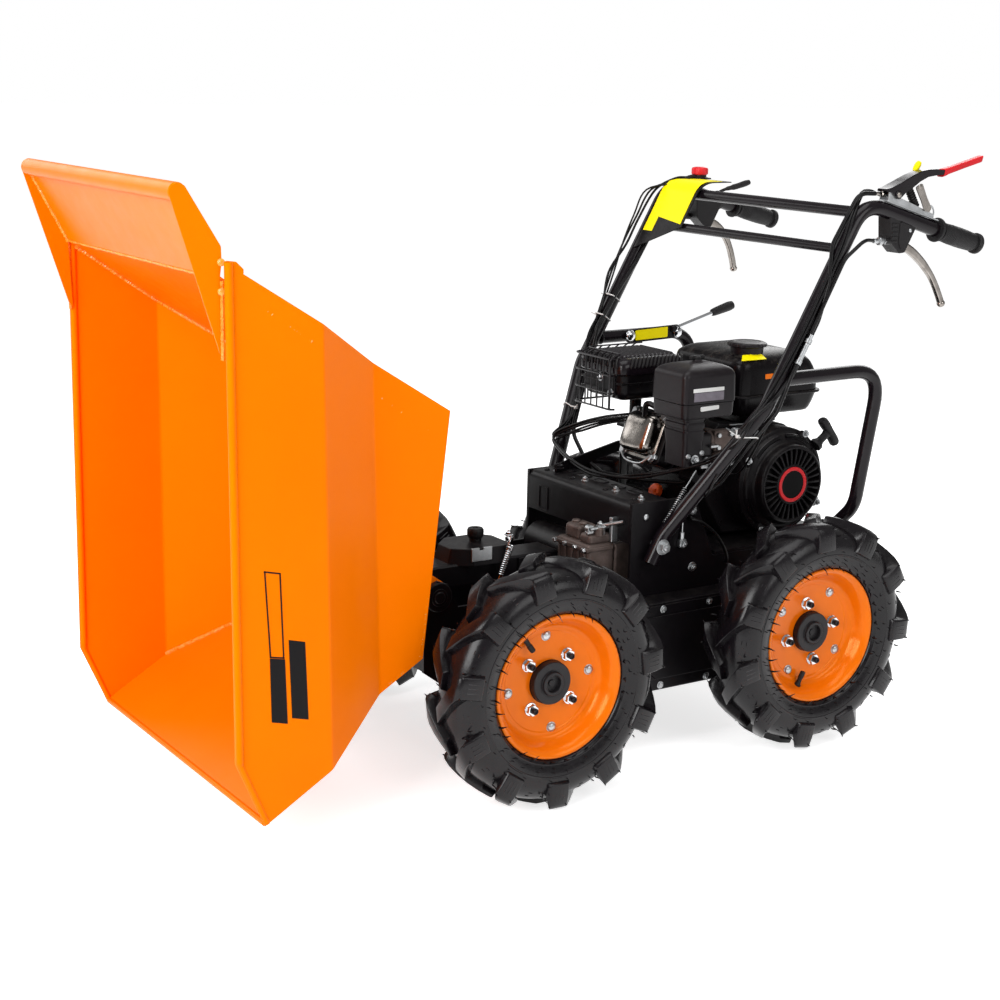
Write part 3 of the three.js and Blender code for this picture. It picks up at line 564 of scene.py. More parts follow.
# near-black: the starter's centre disc, and painted shade in the grille's openings and on the floor behind
# the grille
starter_black_and_shade = finish("starter black and painted shade", "black_plastic", "#060506", "#040304", rough=(0.4, 0.5),
                   specular=0.08)
cable_black = finish("cable sheath", "rubber", "#0c0a0c", "#060506", rough=(0.24, 0.36), specular=0.2,
                     relief=(900.0, 0.1, 0.0))
chrome = finish("bright chrome", "chrome", "#dedfe1", "#c6c8cb", rough=(0.06, 0.14), metal=1.0,
                relief=(150.0, 0.03, 0.0), patches=(30.0, 1.4))
lever_metal = finish("polished lever metal", "chrome", "#a8a29c", "#77716c", rough=(0.12, 0.24), metal=1.0,
                     relief=(240.0, 0.1, 0.0), patches=(50.0, 2.2))
zinc = finish("zinc plate", "zinc", "#bfc1c3", "#9d9fa0", rough=(0.25, 0.42), metal=1.0,
              relief=(900.0, 0.15, 0.0), patches=(60.0, 2.0), sheen_and_wear=("#7d7d7a", 0.4, 0.0008))
cast_alloy = finish("cast alloy", "cast_alloy", "#6a5c57", "#463b37", rough=(0.42, 0.62), metal=0.6,
                    relief=(520.0, 0.6, 0.5), patches=(40.0, 2.2), sheen_and_wear=("#8f837c", 0.5, 0.0015), dust_and_top_sheen=0.1)
dark_steel = finish("heat-stained steel", "zinc", "#232021", "#141213", rough=(0.4, 0.6), metal=0.5,
                    relief=(500.0, 0.3, 0.2), patches=(30.0, 2.4), sheen_and_wear=("#6c655f", 0.4, 0.001))
red_plastic = finish("red plastic", "red_plastic", "#dc1f28", "#c0161e", rough=(0.3, 0.42), specular=0.3,
                     relief=(1400.0, 0.2, 0.5))
amber_plastic = finish("amber plastic", "red_plastic", "#ea5a1e", "#d84a16", rough=(0.3, 0.42), specular=0.3,
                       relief=(1400.0, 0.2, 0.5))
yellow_label = finish("yellow label plate", "black_plastic", "#ffee00", "#f6e400", rough=(0.35, 0.45),
                      specular=0.15, relief=(700.0, 0.05, 0.0), patches=(40.0, 1.4))
grey_label = finish("grey label plate", "black_plastic", "#e6e6e4", "#d2d2d0", rough=(0.4, 0.5),
                    relief=(700.0, 0.05, 0.0))
print_grey = finish("printed grey", "black_plastic", "#77707a", "#5f5962", rough=(0.4, 0.5),
                    relief=(700.0, 0.05, 0.0), patches=(90.0, 2.2))
hub_grey = finish("hub grey paint", "black_paint", "#1c191c", "#131113", rough=(0.36, 0.5), specular=0.28,
                  relief=(700.0, 0.3, 0.3), sheen_and_wear=("#555456", 0.35, 0.001))


# ---------------------------------------------------------------- floor, lamps and camera
WHITE = (1, 1, 1, 1)
FLOOR_SPAN, FLOOR_LIFT, AIR_STRENGTH = 40.0, 0.72, 0.36


def studio():
    mesh = bmesh.new()
    mesh.faces.new([mesh.verts.new((x * FLOOR_SPAN, y * FLOOR_SPAN, 0))
                    for x, y in ((-1, -1), (1, -1), (1, 1), (-1, 1))])
    floor_mesh = bpy.data.meshes.new("studio_floor")
    mesh.to_mesh(floor_mesh)
    mesh.free()
    floor = bpy.data.objects.new("studio_floor", floor_mesh)
    scene.collection.objects.link(floor)

    pale = bpy.data.materials.new("pale floor")
    pale.use_nodes = True
    tree = pale.node_tree
    patches = use(tree, MOTTLE, scale=0.6, contrast=0.5)
    tone = mix_colour(tree, patches, (0.86, 0.86, 0.86, 1), (0.83, 0.83, 0.835, 1))
    seen = node(tree, "LightPath").outputs
    direct = sums(tree, "MAXIMUM", seen["Is Camera Ray"], seen["Is Glossy Ray"])
    direct = sums(tree, "MAXIMUM", direct, seen["Is Transmission Ray"])
    lift = sums(tree, "MULTIPLY", direct, FLOOR_LIFT)
    plug(tree, tree.nodes["Principled BSDF"], dict(base_color=tone, roughness=0.9, specular_ior_level=0.1,
                                                   emission_color=WHITE, emission_strength=lift))
    floor_mesh.materials.append(pale)

    world = bpy.data.worlds.new("studio air")
    scene.world = world
    world.use_nodes = True
    tree = world.node_tree
    tree.nodes.clear()
    seen = node(tree, "LightPath").outputs
    direct = sums(tree, "MAXIMUM", seen["Is Camera Ray"], seen["Is Transmission Ray"])
    soft = node(tree, "Background", color=WHITE, strength=AIR_STRENGTH).outputs[0]
    white = node(tree, "Background", color=WHITE, strength=1.0).outputs[0]
    choose = node(tree, "MixShader", _0=direct, _1=soft, _2=white).outputs[0]
    node(tree, "OutputWorld", surface=choose)


def lamp(name, place, target, size, power):
    data = bpy.data.lights.new(name, "AREA")
    data.shape = "RECTANGLE"
    data.size, data.size_y = size
    data.energy = power
    made = bpy.data.objects.new(name, data)
    made.location = place
    made.rotation_euler = (Vector(target) - Vector(place)).to_track_quat("-Z", "Y").to_euler()
    scene.collection.objects.link(made)


studio()
for row in (("overhead_lamp", (0.1, 0.3, 3.0), (0, 0, 0.4), (2.6, 2.0), 44),
            ("front_lamp", (2.9, 1.2, 1.7), (0.2, 0, 0.45), (1.6, 2.0), 84),
            ("side_lamp", (-0.9, 3.1, 1.9), (-0.1, 0, 0.4), (2.0, 1.6), 33),
            ("rear_lamp", (-2.8, -1.6, 2.0), (0, 0, 0.5), (1.6, 1.6), 26),
            ("far_lamp", (1.0, -3.0, 1.8), (0, 0, 0.5), (1.6, 1.6), 18)):
    lamp(*row)

camera_data = bpy.data.cameras.new("viewer")
camera_data.lens = CAMERA_LENS
camera_data.sensor_width = 36.0
camera = bpy.data.objects.new("viewer", camera_data)
scene.collection.objects.link(camera)
scene.camera = camera
camera.matrix_world = (Matrix.Translation(DATUM + at(*CAMERA_PLACE) * MM)
                       @ Matrix(CAMERA_AXES).transposed().to_4x4())
scene.view_settings.view_transform = "Standard"


# ---------------------------------------------------------------- wheels
# Profiles are rows of (radius, distance from the wheel's centre plane).
TYRE_HALF = [                     # bead, sidewall, shoulder, crown
    (112.0, 28.5), (116.5, 31.4), (118.5, 32.8), (119.3, 35.6), (121.4, 38.2), (123.2, 38.9), (124.2, 40.2),
    (126.0, 40.4), (131.0, 42.6), (138.0, 44.6), (142.4, 45.4), (143.2, 46.3), (144.8, 46.4), (145.6, 45.8),
    (152.0, 46.0), (160.0, 44.9), (168.0, 42.2), (175.0, 37.8), (181.0, 31.4), (185.4, 23.6), (188.2, 14.4),
    (189.4, 5.0)]
LUG_TOP = [(202.0, -5.0), (202.0, 10.0), (201.6, 24.0), (200.2, 36.0), (197.6, 43.4), (194.6, 46.8),
           (190.0, 48.6), (178.0, 50.8), (166.0, 51.6), (155.0, 51.7)]
LUG_ROOT = [(187.5, -5.0), (187.5, 9.0), (184.5, 22.0), (178.5, 31.0), (173.0, 36.0), (168.0, 39.0),
            (163.0, 41.0), (157.0, 42.5), (154.0, 43.5), (152.0, 44.0)]
LUG_RIB = [(182, 49.5), (174, 50.4), (162, 50.9)]
LUG_COUNT = 11
LUG_SWEEP = 15.0                  # degrees that the inner end runs ahead of the shoulder
LUG_HALF, LUG_FLARE = 13.0, 4.0   # half width at the crown, and what it gains at the shoulder and at the root
SHOULDER_Y = 46.0
WHISKER_TIP_Y = 51.6
LUG_WHISKERS = ((193, 47, -0.085), (193, 47, 0.085), (160, 46, 0.12), (176, 40, 0.17), (183, 30, 0.1))
# rows of radius, count, reach, fall towards the hub, thickness
SIDE_WHISKERS = ((121.0, 34, 14.0, 0.25, 1.7), (129.0, 30, 8.5, 0.1, 0.9), (136.0, 30, 6.5, 0.0, 0.9),
                 (150.0, 22, 5.0, 0.0, 0.9))
RIM_FACE = [(117.2, 31.8), (117.6, 33.4), (116.9, 34.6), (115.2, 35.0), (112.8, 34.5), (110.2, 33.0),
            (107.4, 30.6), (104.8, 27.4), (102.4, 23.4), (99.8, 17.6), (97.2, 12.2), (94.8, 8.4), (92.0, 5.9),
            (89.0, 4.6), (86.0, 4.2), (84.0, 4.1), (83.2, 3.8), (82.2, 2.9), (81.2, 2.6)]
RIM_BACK = [(80.0, 0.3), (90.0, 0.3), (94.0, 2.2), (97.0, 5.4), (99.6, 9.8), (102.2, 15.4), (104.8, 21.2),
            (107.4, 25.4), (110.4, 28.6), (113.4, 30.6)]
HUB_BACK = [(66.0, -0.2), (66.0, -11.0), (65.0, -12.0), (34.0, -12.6), (26.0, -15.0), (22.0, -20.0),
            (20.0, -24.0), (20.0, -67.4)]
HUB_CAP = [(35.2, 2.7), (34.8, 13.4), (33.6, 14.8), (23.4, 15.0), (22.0, 14.2), (20.2, 14.2), (19.2, 15.4),
           (19.0, 18.0), (17.9, 19.0), (14.6, 19.0), (13.6, 18.0), (13.2, 11.0), (6.0, 10.6), (5.0, 12.4),
           (1.0, 12.4)]
STUD_CIRCLE, BOLT_CIRCLE, DISC_Y = 52, 77, 2.6
VALVE = [(6.2, 0), (6.2, 2.4), (4.6, 4.0), (4.0, 9.0), (3.9, 14.0), (4.7, 14.6), (4.7, 25.0), (4.0, 26.6),
         (2.0, 26.8)]


def wheel_frame(name, side):
    """A function that places a point by radius, distance from the centre plane and angle."""
    low, high = node_box("tyre_" + name)
    middle = (low + high) / 2
    return lambda r, y, t: middle + at(r * cos(t), side * y, r * sin(t))


def wheel_turned(place, profile, sides=96, loop=False):
    return skin([[place(max(r, 0.05), y, t) for t in turns(sides)] for r, y in profile], loop=loop)


def lug(place, angle, hand):
    """One tread bar: from the crown it slants back to the shoulder and then runs down the sidewall."""
    rings = []
    for (top_r, top_y), (root_r, root_y) in zip(LUG_TOP, LUG_ROOT):
        middle = radians(angle - LUG_SWEEP * max(0.0, 1 - top_y / SHOULDER_Y))
        width = LUG_HALF + LUG_FLARE * min(1.0, max(0.0, top_y / SHOULDER_Y))
        rings.append([place(r, hand * y, middle + half / r) for r, y, half in (
            (root_r, root_y, width + LUG_FLARE), (top_r, top_y, width), (top_r, top_y, -width),
            (root_r, root_y, -width - LUG_FLARE))])
    ribs = [tube([place(r, hand * y, radians(angle) + k * 7.0 / 172) for r, y in LUG_RIB], 1.1, 6)
            for k in (-1, 0, 1)]  # moulded on the squared end
    return [softened(skin(rings), 1.5, 2, 40)] + ribs


def sidewall_y(r):
    for (r0, y0), (r1, y1) in zip(TYRE_HALF, TYRE_HALF[1:]):
        if r0 <= r <= r1:
            return y0 + (y1 - y0) * (r - r0) / (r1 - r0)
    return TYRE_HALF[0][1]


def whisker(place, r, y, angle, reach, draw, fall=0.0, thick=0.75):
    """A thin hair of rubber left by a mould vent."""
    lean, turn = draw.uniform(-0.25, 0.25) - fall, draw.uniform(-0.02, 0.02)
    length = reach * draw.uniform(0.7, 1.0)
    run = [place(r + lean * length * s * s * 2, y + copysign(length * s, y), angle + turn * s * s)
           for s in (0, 0.5, 1)]
    return tube(run, [thick, thick * 0.8, 0.35], 4)


def tyre(name, side, phase, draw):
    place = wheel_frame(name, side)
    shapes = [wheel_turned(place, TYRE_HALF + [(r, -y) for r, y in reversed(TYRE_HALF)], loop=True)]
    pitch = 360 / LUG_COUNT
    for hand, offset in ((1, 0.0), (-1, pitch / 2)):
        for k in range(LUG_COUNT):
            angle = phase + offset + k * pitch
            shapes += lug(place, angle, hand)
            for r, y, turn in LUG_WHISKERS:
                reach = WHISKER_TIP_Y - y
                shapes.append(whisker(place, r, hand * y, radians(angle) + turn, reach, draw, 0.0, 1.5))
            for r, turn in ((178, 0.28), (172, 0.27)):   # moulded mark between two bars
                t = radians(angle) + turn
                y = hand * (sidewall_y(r) + 0.2)
                shapes.append(tube([place(r, y, t), place(r, y, t + 0.035)], 0.9, 5))
        for r, count, reach, fall, thick in SIDE_WHISKERS:
            for k in range(count):
                t = 2 * pi * (k + draw.uniform(-0.25, 0.25)) / count
                shapes.append(whisker(place, r, hand * sidewall_y(r), t, reach, draw, fall, thick))
    piece("tyre_tread_" + name, shapes, tyre_rubber, "wheel_" + name, ["tyre_" + name], weighted=False)


def rim(name, side):
    place = wheel_frame(name, side)
    outer, inner = (RIM_FACE + [(r, DISC_Y), (r, 0.3)] + RIM_BACK for r in (36.0, 68.0))
    shapes = [wheel_turned(place, outer, loop=True),
              wheel_turned(place, [(r, -y) for r, y in inner], loop=True)]
    piece("rim_dish_" + name, shapes, rim_orange, "wheel_" + name, ["rim_" + name], sharp=50, weighted=False)


def hub(name, side, phase):
    place = wheel_frame(name, side)
    body = "wheel_" + name
    axle = place(0, 0, 0) - place(0, 1, 0)
    outwards = -axle
    angles = [radians(phase + 90 * k) for k in range(4)]
    shapes = [wheel_turned(place, HUB_BACK, 48), wheel_turned(place, HUB_CAP, 48)]
    shapes += [hexagon(place(STUD_CIRCLE, -12.0, t), axle, 15, 7, phase=k) for k, t in enumerate(angles)]
    piece("hub_disc_" + name, shapes, hub_grey, body, ["hub_" + name])

    nuts, studs, rivets = [], [], []
    for k, t in enumerate(angles):
        c = place(STUD_CIRCLE, DISC_Y, t)
        nuts += [washer(c, outwards, 11.0, 1.8),
                 hexagon(c + outwards * 1.8, outwards, 17, 8.5, phase=0.4 * k + t)]
        studs.append(turned([(5.2, 0), (5.2, 15.5), (4.4, 16.6), (3.0, 16.6), (2.6, 15.0)], c, outwards, 20))
        t += radians(45)
        c = place(BOLT_CIRCLE, DISC_Y, t)
        rivets += [washer(c, outwards, 8.6, 1.0), domed(c + outwards * 1.0, outwards, 7.2, 4.6),
                   hexagon(place(BOLT_CIRCLE, -DISC_Y, t), axle, 12, 6)]
    piece("wheel_nuts_" + name, nuts, chrome, body, sharp=25)
    piece("wheel_studs_" + name, studs, moulded_black, body)
    piece("rim_bolts_" + name, rivets, zinc, body, sharp=25)


def valve_stem(name, side, angle):
    place = wheel_frame(name, side)
    root, tip = place(96.0, 9.0, radians(angle)), place(70.0, 15.0, radians(angle))
    piece("valve_stem_" + name, [turned(VALVE, root, tip - root, 16)], grip_rubber, "wheel_" + name)


WHEELS = [                        # name, side, angle of a tread bar, angle of a stud, angle of the valve
    ("front_left", 1, 10.1, 39.6, 56.8), ("front_right", -1, 3.0, 20.0, 130.0),
    ("rear_left", 1, 20.4, 79.2, -75.0), ("rear_right", -1, 14.0, 65.0, 30.0)]
for name, side, tread, stud, valve in WHEELS:
    tyre(name, side, tread, random.Random(name))
    rim(name, side)
    hub(name, side, stud)
    valve_stem(name, side, valve)


# ---------------------------------------------------------------- tub
TIP = radians(83)            # the machine stands with its tub tipped by this much
_low, _high = node_box("hinge_pin")
HINGE = at((_low.x + _high.x) / 2, 0, (_low.z + _high.z) / 2)
TIPPED = Matrix.Translation(HINGE) @ Matrix.Rotation(TIP, 4, "Y")
SHEET = 3.0
MOUTH_SHARE = 0.86                # how far along a side its mouth edge bends down to the lip
TUB = {                           # (x, z, half width), drawn level from the hinge
    "floor_rear": (-308.5, 61.0, 226.0), "floor_front": (78.0, 61.0, 232.0),
    "low_rear": (-374.2, 204.0, 226.0), "low_front": (131.9, 131.0, 232.0),
    "high_rear": (-432.4, 331.0, 298.0), "high_front": (218.2, 243.0, 310.0),
    "top_rear": (-505.0, 489.0, 298.0), "mouth_front": (199.0, 401.0, 310.0), "lip": (296.0, 344.0, 310.0),
}


def tub_piece(name, shapes, finish, stands_for=(), **settings):
    """A piece that is drawn level and rides on the tipped tub."""
    piece(name, [moved(p, TIPPED) for p in shapes], finish, "tub", stands_for, **settings)


def tub_point(name, s, inset=0.0, dz=0.0):
    x, z, y = TUB[name]
    return at(x, s * (y - inset), z + dz)


def folded(rows, offset):
    """A sheet through rows of points, given a thickness by an offset (one vector, or one for each row)."""
    offsets = offset if isinstance(offset, list) else [offset] * len(rows)
    return skin([list(row) + [p + o for p in reversed(row)] for row, o in zip(rows, offsets)])


def tub_side(s):
    columns = []
    for share in (0.0, 0.45, MOUTH_SHARE, 1.0):
        names = ["floor", "low", "high"]
        line = [tub_point(n + "_rear", s).lerp(tub_point(n + "_front", s), share) for n in names]
        rear, front = tub_point("top_rear", s), tub_point("mouth_front", s)
        top = {0.0: rear, MOUTH_SHARE: front, 1.0: tub_point("lip", s)}
        line.append(top.get(share, rear.lerp(front, share / MOUTH_SHARE)))
        columns.append(rounded_path(line, 14, 4))
    rows = [list(row) for row in zip(*columns)]
    wall = softened(folded(rows, at(0, -s * SHEET, 0)), 0.6, 2, 60)

    # the mouth edge is rolled over into a hem, which narrows towards the lip
    a, b, c = (tub_point(n, s, 1.5, dz=-6.2) for n in ("top_rear", "mouth_front", "lip"))
    edge = rounded_path([a, b, c + at(-4, 0, 3)], 16, 5)
    radii = [6.2 - 2.0 * i / (len(edge) - 1) for i in range(len(edge))]
    tab = rounded([(-505, 489), (-507, 486), (-507, 472), (-498, 460), (-491, 459), (-491, 480)], 2, 3)
    shapes = [wall, tube(edge, radii, 16), soft_plate(tab, *across(s, 294.9, 298.3), width=0.8)]
    tub_piece("tub_side_sheet_" + SIDE_NAME[s], shapes, orange_paint, ["tub_side_" + SIDE_NAME[s]], sharp=35)


def side_y(x, z):
    """The half width of the upright upper band of a side at (x, z)."""
    share = 0.5
    for _ in range(16):
        low = tub_point("high_rear", 1).lerp(tub_point("high_front", 1), share)
        high = tub_point("top_rear", 1).lerp(tub_point("mouth_front", 1), share / MOUTH_SHARE)
        here = low.lerp(high, (z - low.z) / (high.z - low.z))
        share += (x - here.x) / 660
    return here.y


def side_bands():
    """Dark printed bands on the sides, left blank: two filled ones and a thin frame."""
    filled = [[(44.9, 364), (46.9, 340), (142.7, 325.4), (139.2, 351.1)],
              [(18.6, 337), (22.3, 310.5), (138.2, 292.2), (134.7, 319)]]
    a, b, c, d = [Vector(p) for p in ((-82.1, 386.6), (-79.2, 360.3), (45.9, 341), (44, 364.1))]
    for p, q in ((a, b), (b, c), (c, d), (d, a)):
        way = (q - p).normalized() * 2.0
        side = Vector((-way.y, way.x))
        filled.append([p, q, q + side, p + side])
    shapes = []
    for s in SIDES:
        for outline in filled:
            rows = [[at(x, s * (side_y(x, z) + lift), z) for x, z in outline] for lift in (-0.8, 0.7)]
            shapes.append(skin(rows))
    tub_piece("tub_side_bands", shapes, tank_black, slot="black_paint", weighted=False)


REAR_TOP, REAR_FOOT = Vector((-485, 489)), Vector((-263.5, 61))     # ahead of the sides' rear edges
FLOOR_BEND = 14                   # from the sharp corner to where the sheet begins to bend


def wrapper_line():
    """The rear wall, floor and front wall in one bent sheet: (x, z, half width) along it."""
    inset = SHEET + 0.2
    wall = [(REAR_TOP.x, REAR_TOP.y, 289.8)]
    wall += [(REAR_FOOT.x + (z - 61) * -221.5 / 428, z, y - inset) for z, y in
             ((471.4, 293.0), (471.0, 298.3), (326.8, 298.6), (198.4, 226.5))]
    ahead = [(TUB[n][0], TUB[n][1], TUB[n][2] - inset) for n in ("low_front", "high_front", "lip")]
    bent_line = list(wall)
    for here, back, ahead_point, w in ((REAR_FOOT, wall[-1], (78, 61), 222.8),
                                       (Vector((78, 61)), (-263, 61), ahead[0], 228.8)):
        before, after = (Vector(p[:2]) - here for p in (back, ahead_point))
        start, end = here + before.normalized() * FLOOR_BEND, here + after.normalized() * FLOOR_BEND
        bent_line += [(p.x, p.y, w) for p in curve(start, here, end, 6)]
    return bent_line + ahead


def tub_wrapper():
    line = wrapper_line()
    rows, offsets = [], []
    for i, (x, z, w) in enumerate(line):
        before, after = Vector(line[max(i - 1, 0)][:2]), Vector(line[min(i + 1, len(line) - 1)][:2])
        way = (after - before).normalized()
        rows.append([at(x, y, z) for y in (-w, -w / 3, w / 3, w)])
        offsets.append(at(-way.y * SHEET, 0, way.x * SHEET))
    sheet = softened(folded(rows, offsets), 0.6, 2, 60)
    # the front wall ends in a small stiffening hem
    x, z, w = TUB["lip"]
    hem = rod((x - 2.5, 5 - w, z - 2.0), (x - 2.5, w - 5, z - 2.0), 4.5, 12, 1.5)
    heel = soft_block((-308.5, -262), (-222, 222), (61, 64), 0.7, 2)
    tub_piece("tub_wrapper_sheet", [sheet, hem, heel], orange_paint,
              ["tub_floor", "tub_rear_wall", "tub_front_wall"], sharp=35)
    beads = []
    inside = [(at(x, w - 0.5, z) + at(o.x, 0, o.z) * 1.2) for (x, z, w), o in zip(line, offsets)]
    for s in SIDES:
        beads.append(weld([at(p.x, s * p.y, p.z) for p in inside[1:-1]], 3.8, 11 + s))
    tub_piece("tub_corner_welds", beads, weld_orange_with_glint, weighted=False)


SPILL_BEAD = at(-590, 0, 562)
SPILL_HALF = 290.0


def spill_lip():
    root = at(REAR_TOP.x, 0, 489.3)
    way = (SPILL_BEAD - root).normalized()
    normal = at(-way.z, 0, way.x) * SHEET
    if normal.x < 0:
        normal = -normal
    half = SPILL_HALF
    rows = [[root + way * d + at(0, y, 0) for y in (1 - half, 0, half - 1)] for d in (0, 20, 100, 122)]
    roll = rod(SPILL_BEAD - at(0, half - 1, 0), SPILL_BEAD + at(0, half - 1, 0), 13, 32, 1)
    shapes = [softened(folded(rows, normal), 0.5, 2, 60), roll]
    tip = (-377, 472)
    outline = rounded([(-481.4, 489.3), tip, (-383, 479), (-590, 575.6), (-603, 566), (-599.5, 552.5),
                       (-525, 492.3), (-505, 489.3)],
                      [1, 1, 3, 9, 9, 5, 9, 1], 4)
    for s in SIDES:
        shapes.append(soft_plate(outline, *across(s, half - SHEET, half), width=0.7))
    tub_piece("spill_lip_sheet", shapes, orange_paint, ["tub_spill_lip"])
    beads = [weld([root + at(3.5, -half + 4, -1), root + at(3.5, half - 4, -1)], 2.8, 31),
             weld([root + at(-2.0, -half + 4, 0), root + at(-2.0, half - 4, 0)], 2.2, 35)]
    for s in SIDES:
        inner, edge = s * (half - SHEET - 1.2), s * (half + 1.5)
        beads.append(weld([at(-480, inner, 489), at(-581, inner, 560)], 3.2, 41 + s))
        beads.append(weld([at(-479, edge, 487), at(tip[0] + 4, edge, tip[1] + 2)], 3.0, 51 + s))
        for x, z in ((-504, 491), (-465, 486)):
            beads.append(domed((x, edge, z), (0, s, 0.6), 5.5, 3.2, 12))
    tub_piece("spill_lip_welds", beads, weld_orange_with_glint, weighted=False)


def hinge_bracket():
    outer, plate_thick = 147.7, 6.0
    cheek = rounded([(-60, 60.6), (-22, -12), (-12, -22), (12, -22), (22, -12), (60, 60.6)],
                    [2, 14, 14, 14, 14, 2], 5)
    shapes = []
    for s in SIDES:
        shapes.append(soft_plate(cheek, *across(s, outer - plate_thick, outer), width=0.8))
    shapes.append(turned([(11, -outer + 0.5), (17, -outer + 0.5), (17, outer - 0.5), (11, outer - 0.5)],
                         (0, 0, 0), LEFT, 32, loop=True))
    shapes.append(soft_plate([(-54, 60.6), (54, 60.6), (54, 55), (-54, 55)], -outer + 6,
                             outer - 6, width=0.8))
    tub_piece("tub_hinge_cheeks", shapes, orange_paint, ["tub_hinge_bracket"])
    beads = []
    for s in SIDES:
        y = s * (outer - plate_thick - 1.5)
        beads.append(weld([at(-52, y, 54), at(52, y, 54)], 2.2, 61 + s))
    tub_piece("tub_hinge_welds", beads, weld_orange_with_glint, weighted=False)


for s in SIDES:
    tub_side(s)
for build in (side_bands, tub_wrapper, spill_lip, hinge_bracket):
    build()


# ---------------------------------------------------------------- frame
PLATE_OUT = 159.0
CASE_OUT = 210.0
COVER_TOP, COVER_FRONT, COVER_REAR = 426.0, -265.0, -345.0
AXLE_X = (0.0, -544.0)
AXLE_Z = 202.0


def frame_plates():
    for name, width in (("frame_plate_left", 1.2), ("frame_plate_right", 1.2), ("belly_pan", 1.0),
                        ("engine_deck", 1.0)):
        dress(name, frame_black, width)
    heads = []
    for s in SIDES:
        out = (0, s, 0)
        for x, z in ((-295, 401), (-250, 270), (-120, 270), (20, 272), (-640, 292)):
            heads.append(domed((x, s * PLATE_OUT, z), out, 5.5, 3.2))
        for x, z in ((-396, 402), (-400, 300), (-560, 290), (-700, 292)):
            heads += bolt((x, s * PLATE_OUT, z), out, 10, 5)
        heads += bolt((-313, s * 185.6, 352), out, 16, 9, 0.3)      # clamps the foot of the handlebar
        heads += [rod((-313, s * 154, 352), (-313, s * 186, 352), 7, 16)]
    piece("frame_bolts", heads, zinc, sharp=25)
    welds = []
    for s in SIDES:                # frame plates to belly pan, and the hinge ears' reinforcing rings
        welds.append(weld([(-650, s * 151, 156), (60, s * 151, 156)], 2.2, 71 + s))
    ring = [(12, 0), (24, 0), (24, 3.4), (22.6, 4.6), (12, 4.6)]
    ears = [turned(ring, (115, s * PLATE_OUT, 318), (0, s, 0), 40, loop=True) for s in SIDES]
    piece("hinge_ear_rings", ears + welds, frame_black)


def cover():
    """The folded cover under the foot of the handlebar, with lightening slots pressed into its top."""
    corners = [(COVER_REAR, 0, COVER_TOP), (COVER_FRONT, 0, COVER_TOP), (COVER_FRONT, 0, 356)]
    line = rounded_path(corners, 15, 7)
    rows, offsets = [], []
    for i, p in enumerate(line):
        way = (line[min(i + 1, len(line) - 1)] - line[max(i - 1, 0)]).normalized()
        rows.append([p + at(0, y, 0) for y in (-152.4, -50, 50, 152.4)])
        offsets.append(at(way.z, 0, -way.x) * 4.0)
    shapes = [softened(folded(rows, offsets), 0.7, 2, 60)]
    rims, wells = [], []
    for y in (-112, -62, -12, 38, 88):
        outline = oblong((-332, -316), (y - 15, y + 15), 5)
        wells.append(plate(outline, COVER_TOP + 0.1, COVER_TOP + 0.5, "z"))
        ring = [(x, yy, COVER_TOP + 0.6) for x, yy in outline]
        rims.append(tube(ring + ring[:2], 1.3, 6))
    frame_rim = [(COVER_FRONT + 0.4, y, z) for y, z in oblong((-118, -92), (362, 404), 4)]
    rims.append(tube(frame_rim + frame_rim[:2], 1.1, 6))
    for y in (-135, -55, 45, 128):
        rims.append(domed((-292, y, COVER_TOP), UP, 5.5, 3))
    piece("front_cover_sheet", shapes + rims, frame_black, stands_for=["front_cover"])
    piece("front_cover_slots", wells, dark_steel, slot="black_paint")
    nuts = []
    for y in (-118, -30, 62, 134):
        nuts += bolt((-302, y, COVER_TOP), UP, 9, 4.5, 0.2 + y)
    piece("front_cover_bolts", nuts, zinc, sharp=25)


def strap():
    """A flat stay that runs from the cover to the deck behind the cylinder."""
    corners = [(-292, -108, 431), (-330, -122, 434), (-474, -160, 450), (-486, -164, 440), (-486, -164, 324)]
    line = rounded_path(corners, 16, 5)
    section = rounded([(-2.5, -10), (2.5, -10), (2.5, 10), (-2.5, 10)], 1.2, 2)
    piece("engine_stay", [swept(line, section, up=(0.3, 1, 0))] + bolt((-300, -110, 433), UP, 12, 6),
          frame_black)


CASE_BODY = [(-606, 135), (-574, 105), (30, 105), (62, 135), (62, 237), (38, 262), (-582, 262), (-606, 237)]
CASE_LID = [(-602, 137), (-572, 109), (28, 109), (58, 137), (58, 235), (36, 258), (-580, 258), (-602, 235)]
AXLE_SEAL = [(52, 0), (52, 4), (50, 6), (41, 6.5), (38, 9), (38, 24), (36.5, 26), (27, 26), (26, 24),
             (21.5, 24), (21.2, 22)]
SEAL_BOLT_CIRCLE = 45.5


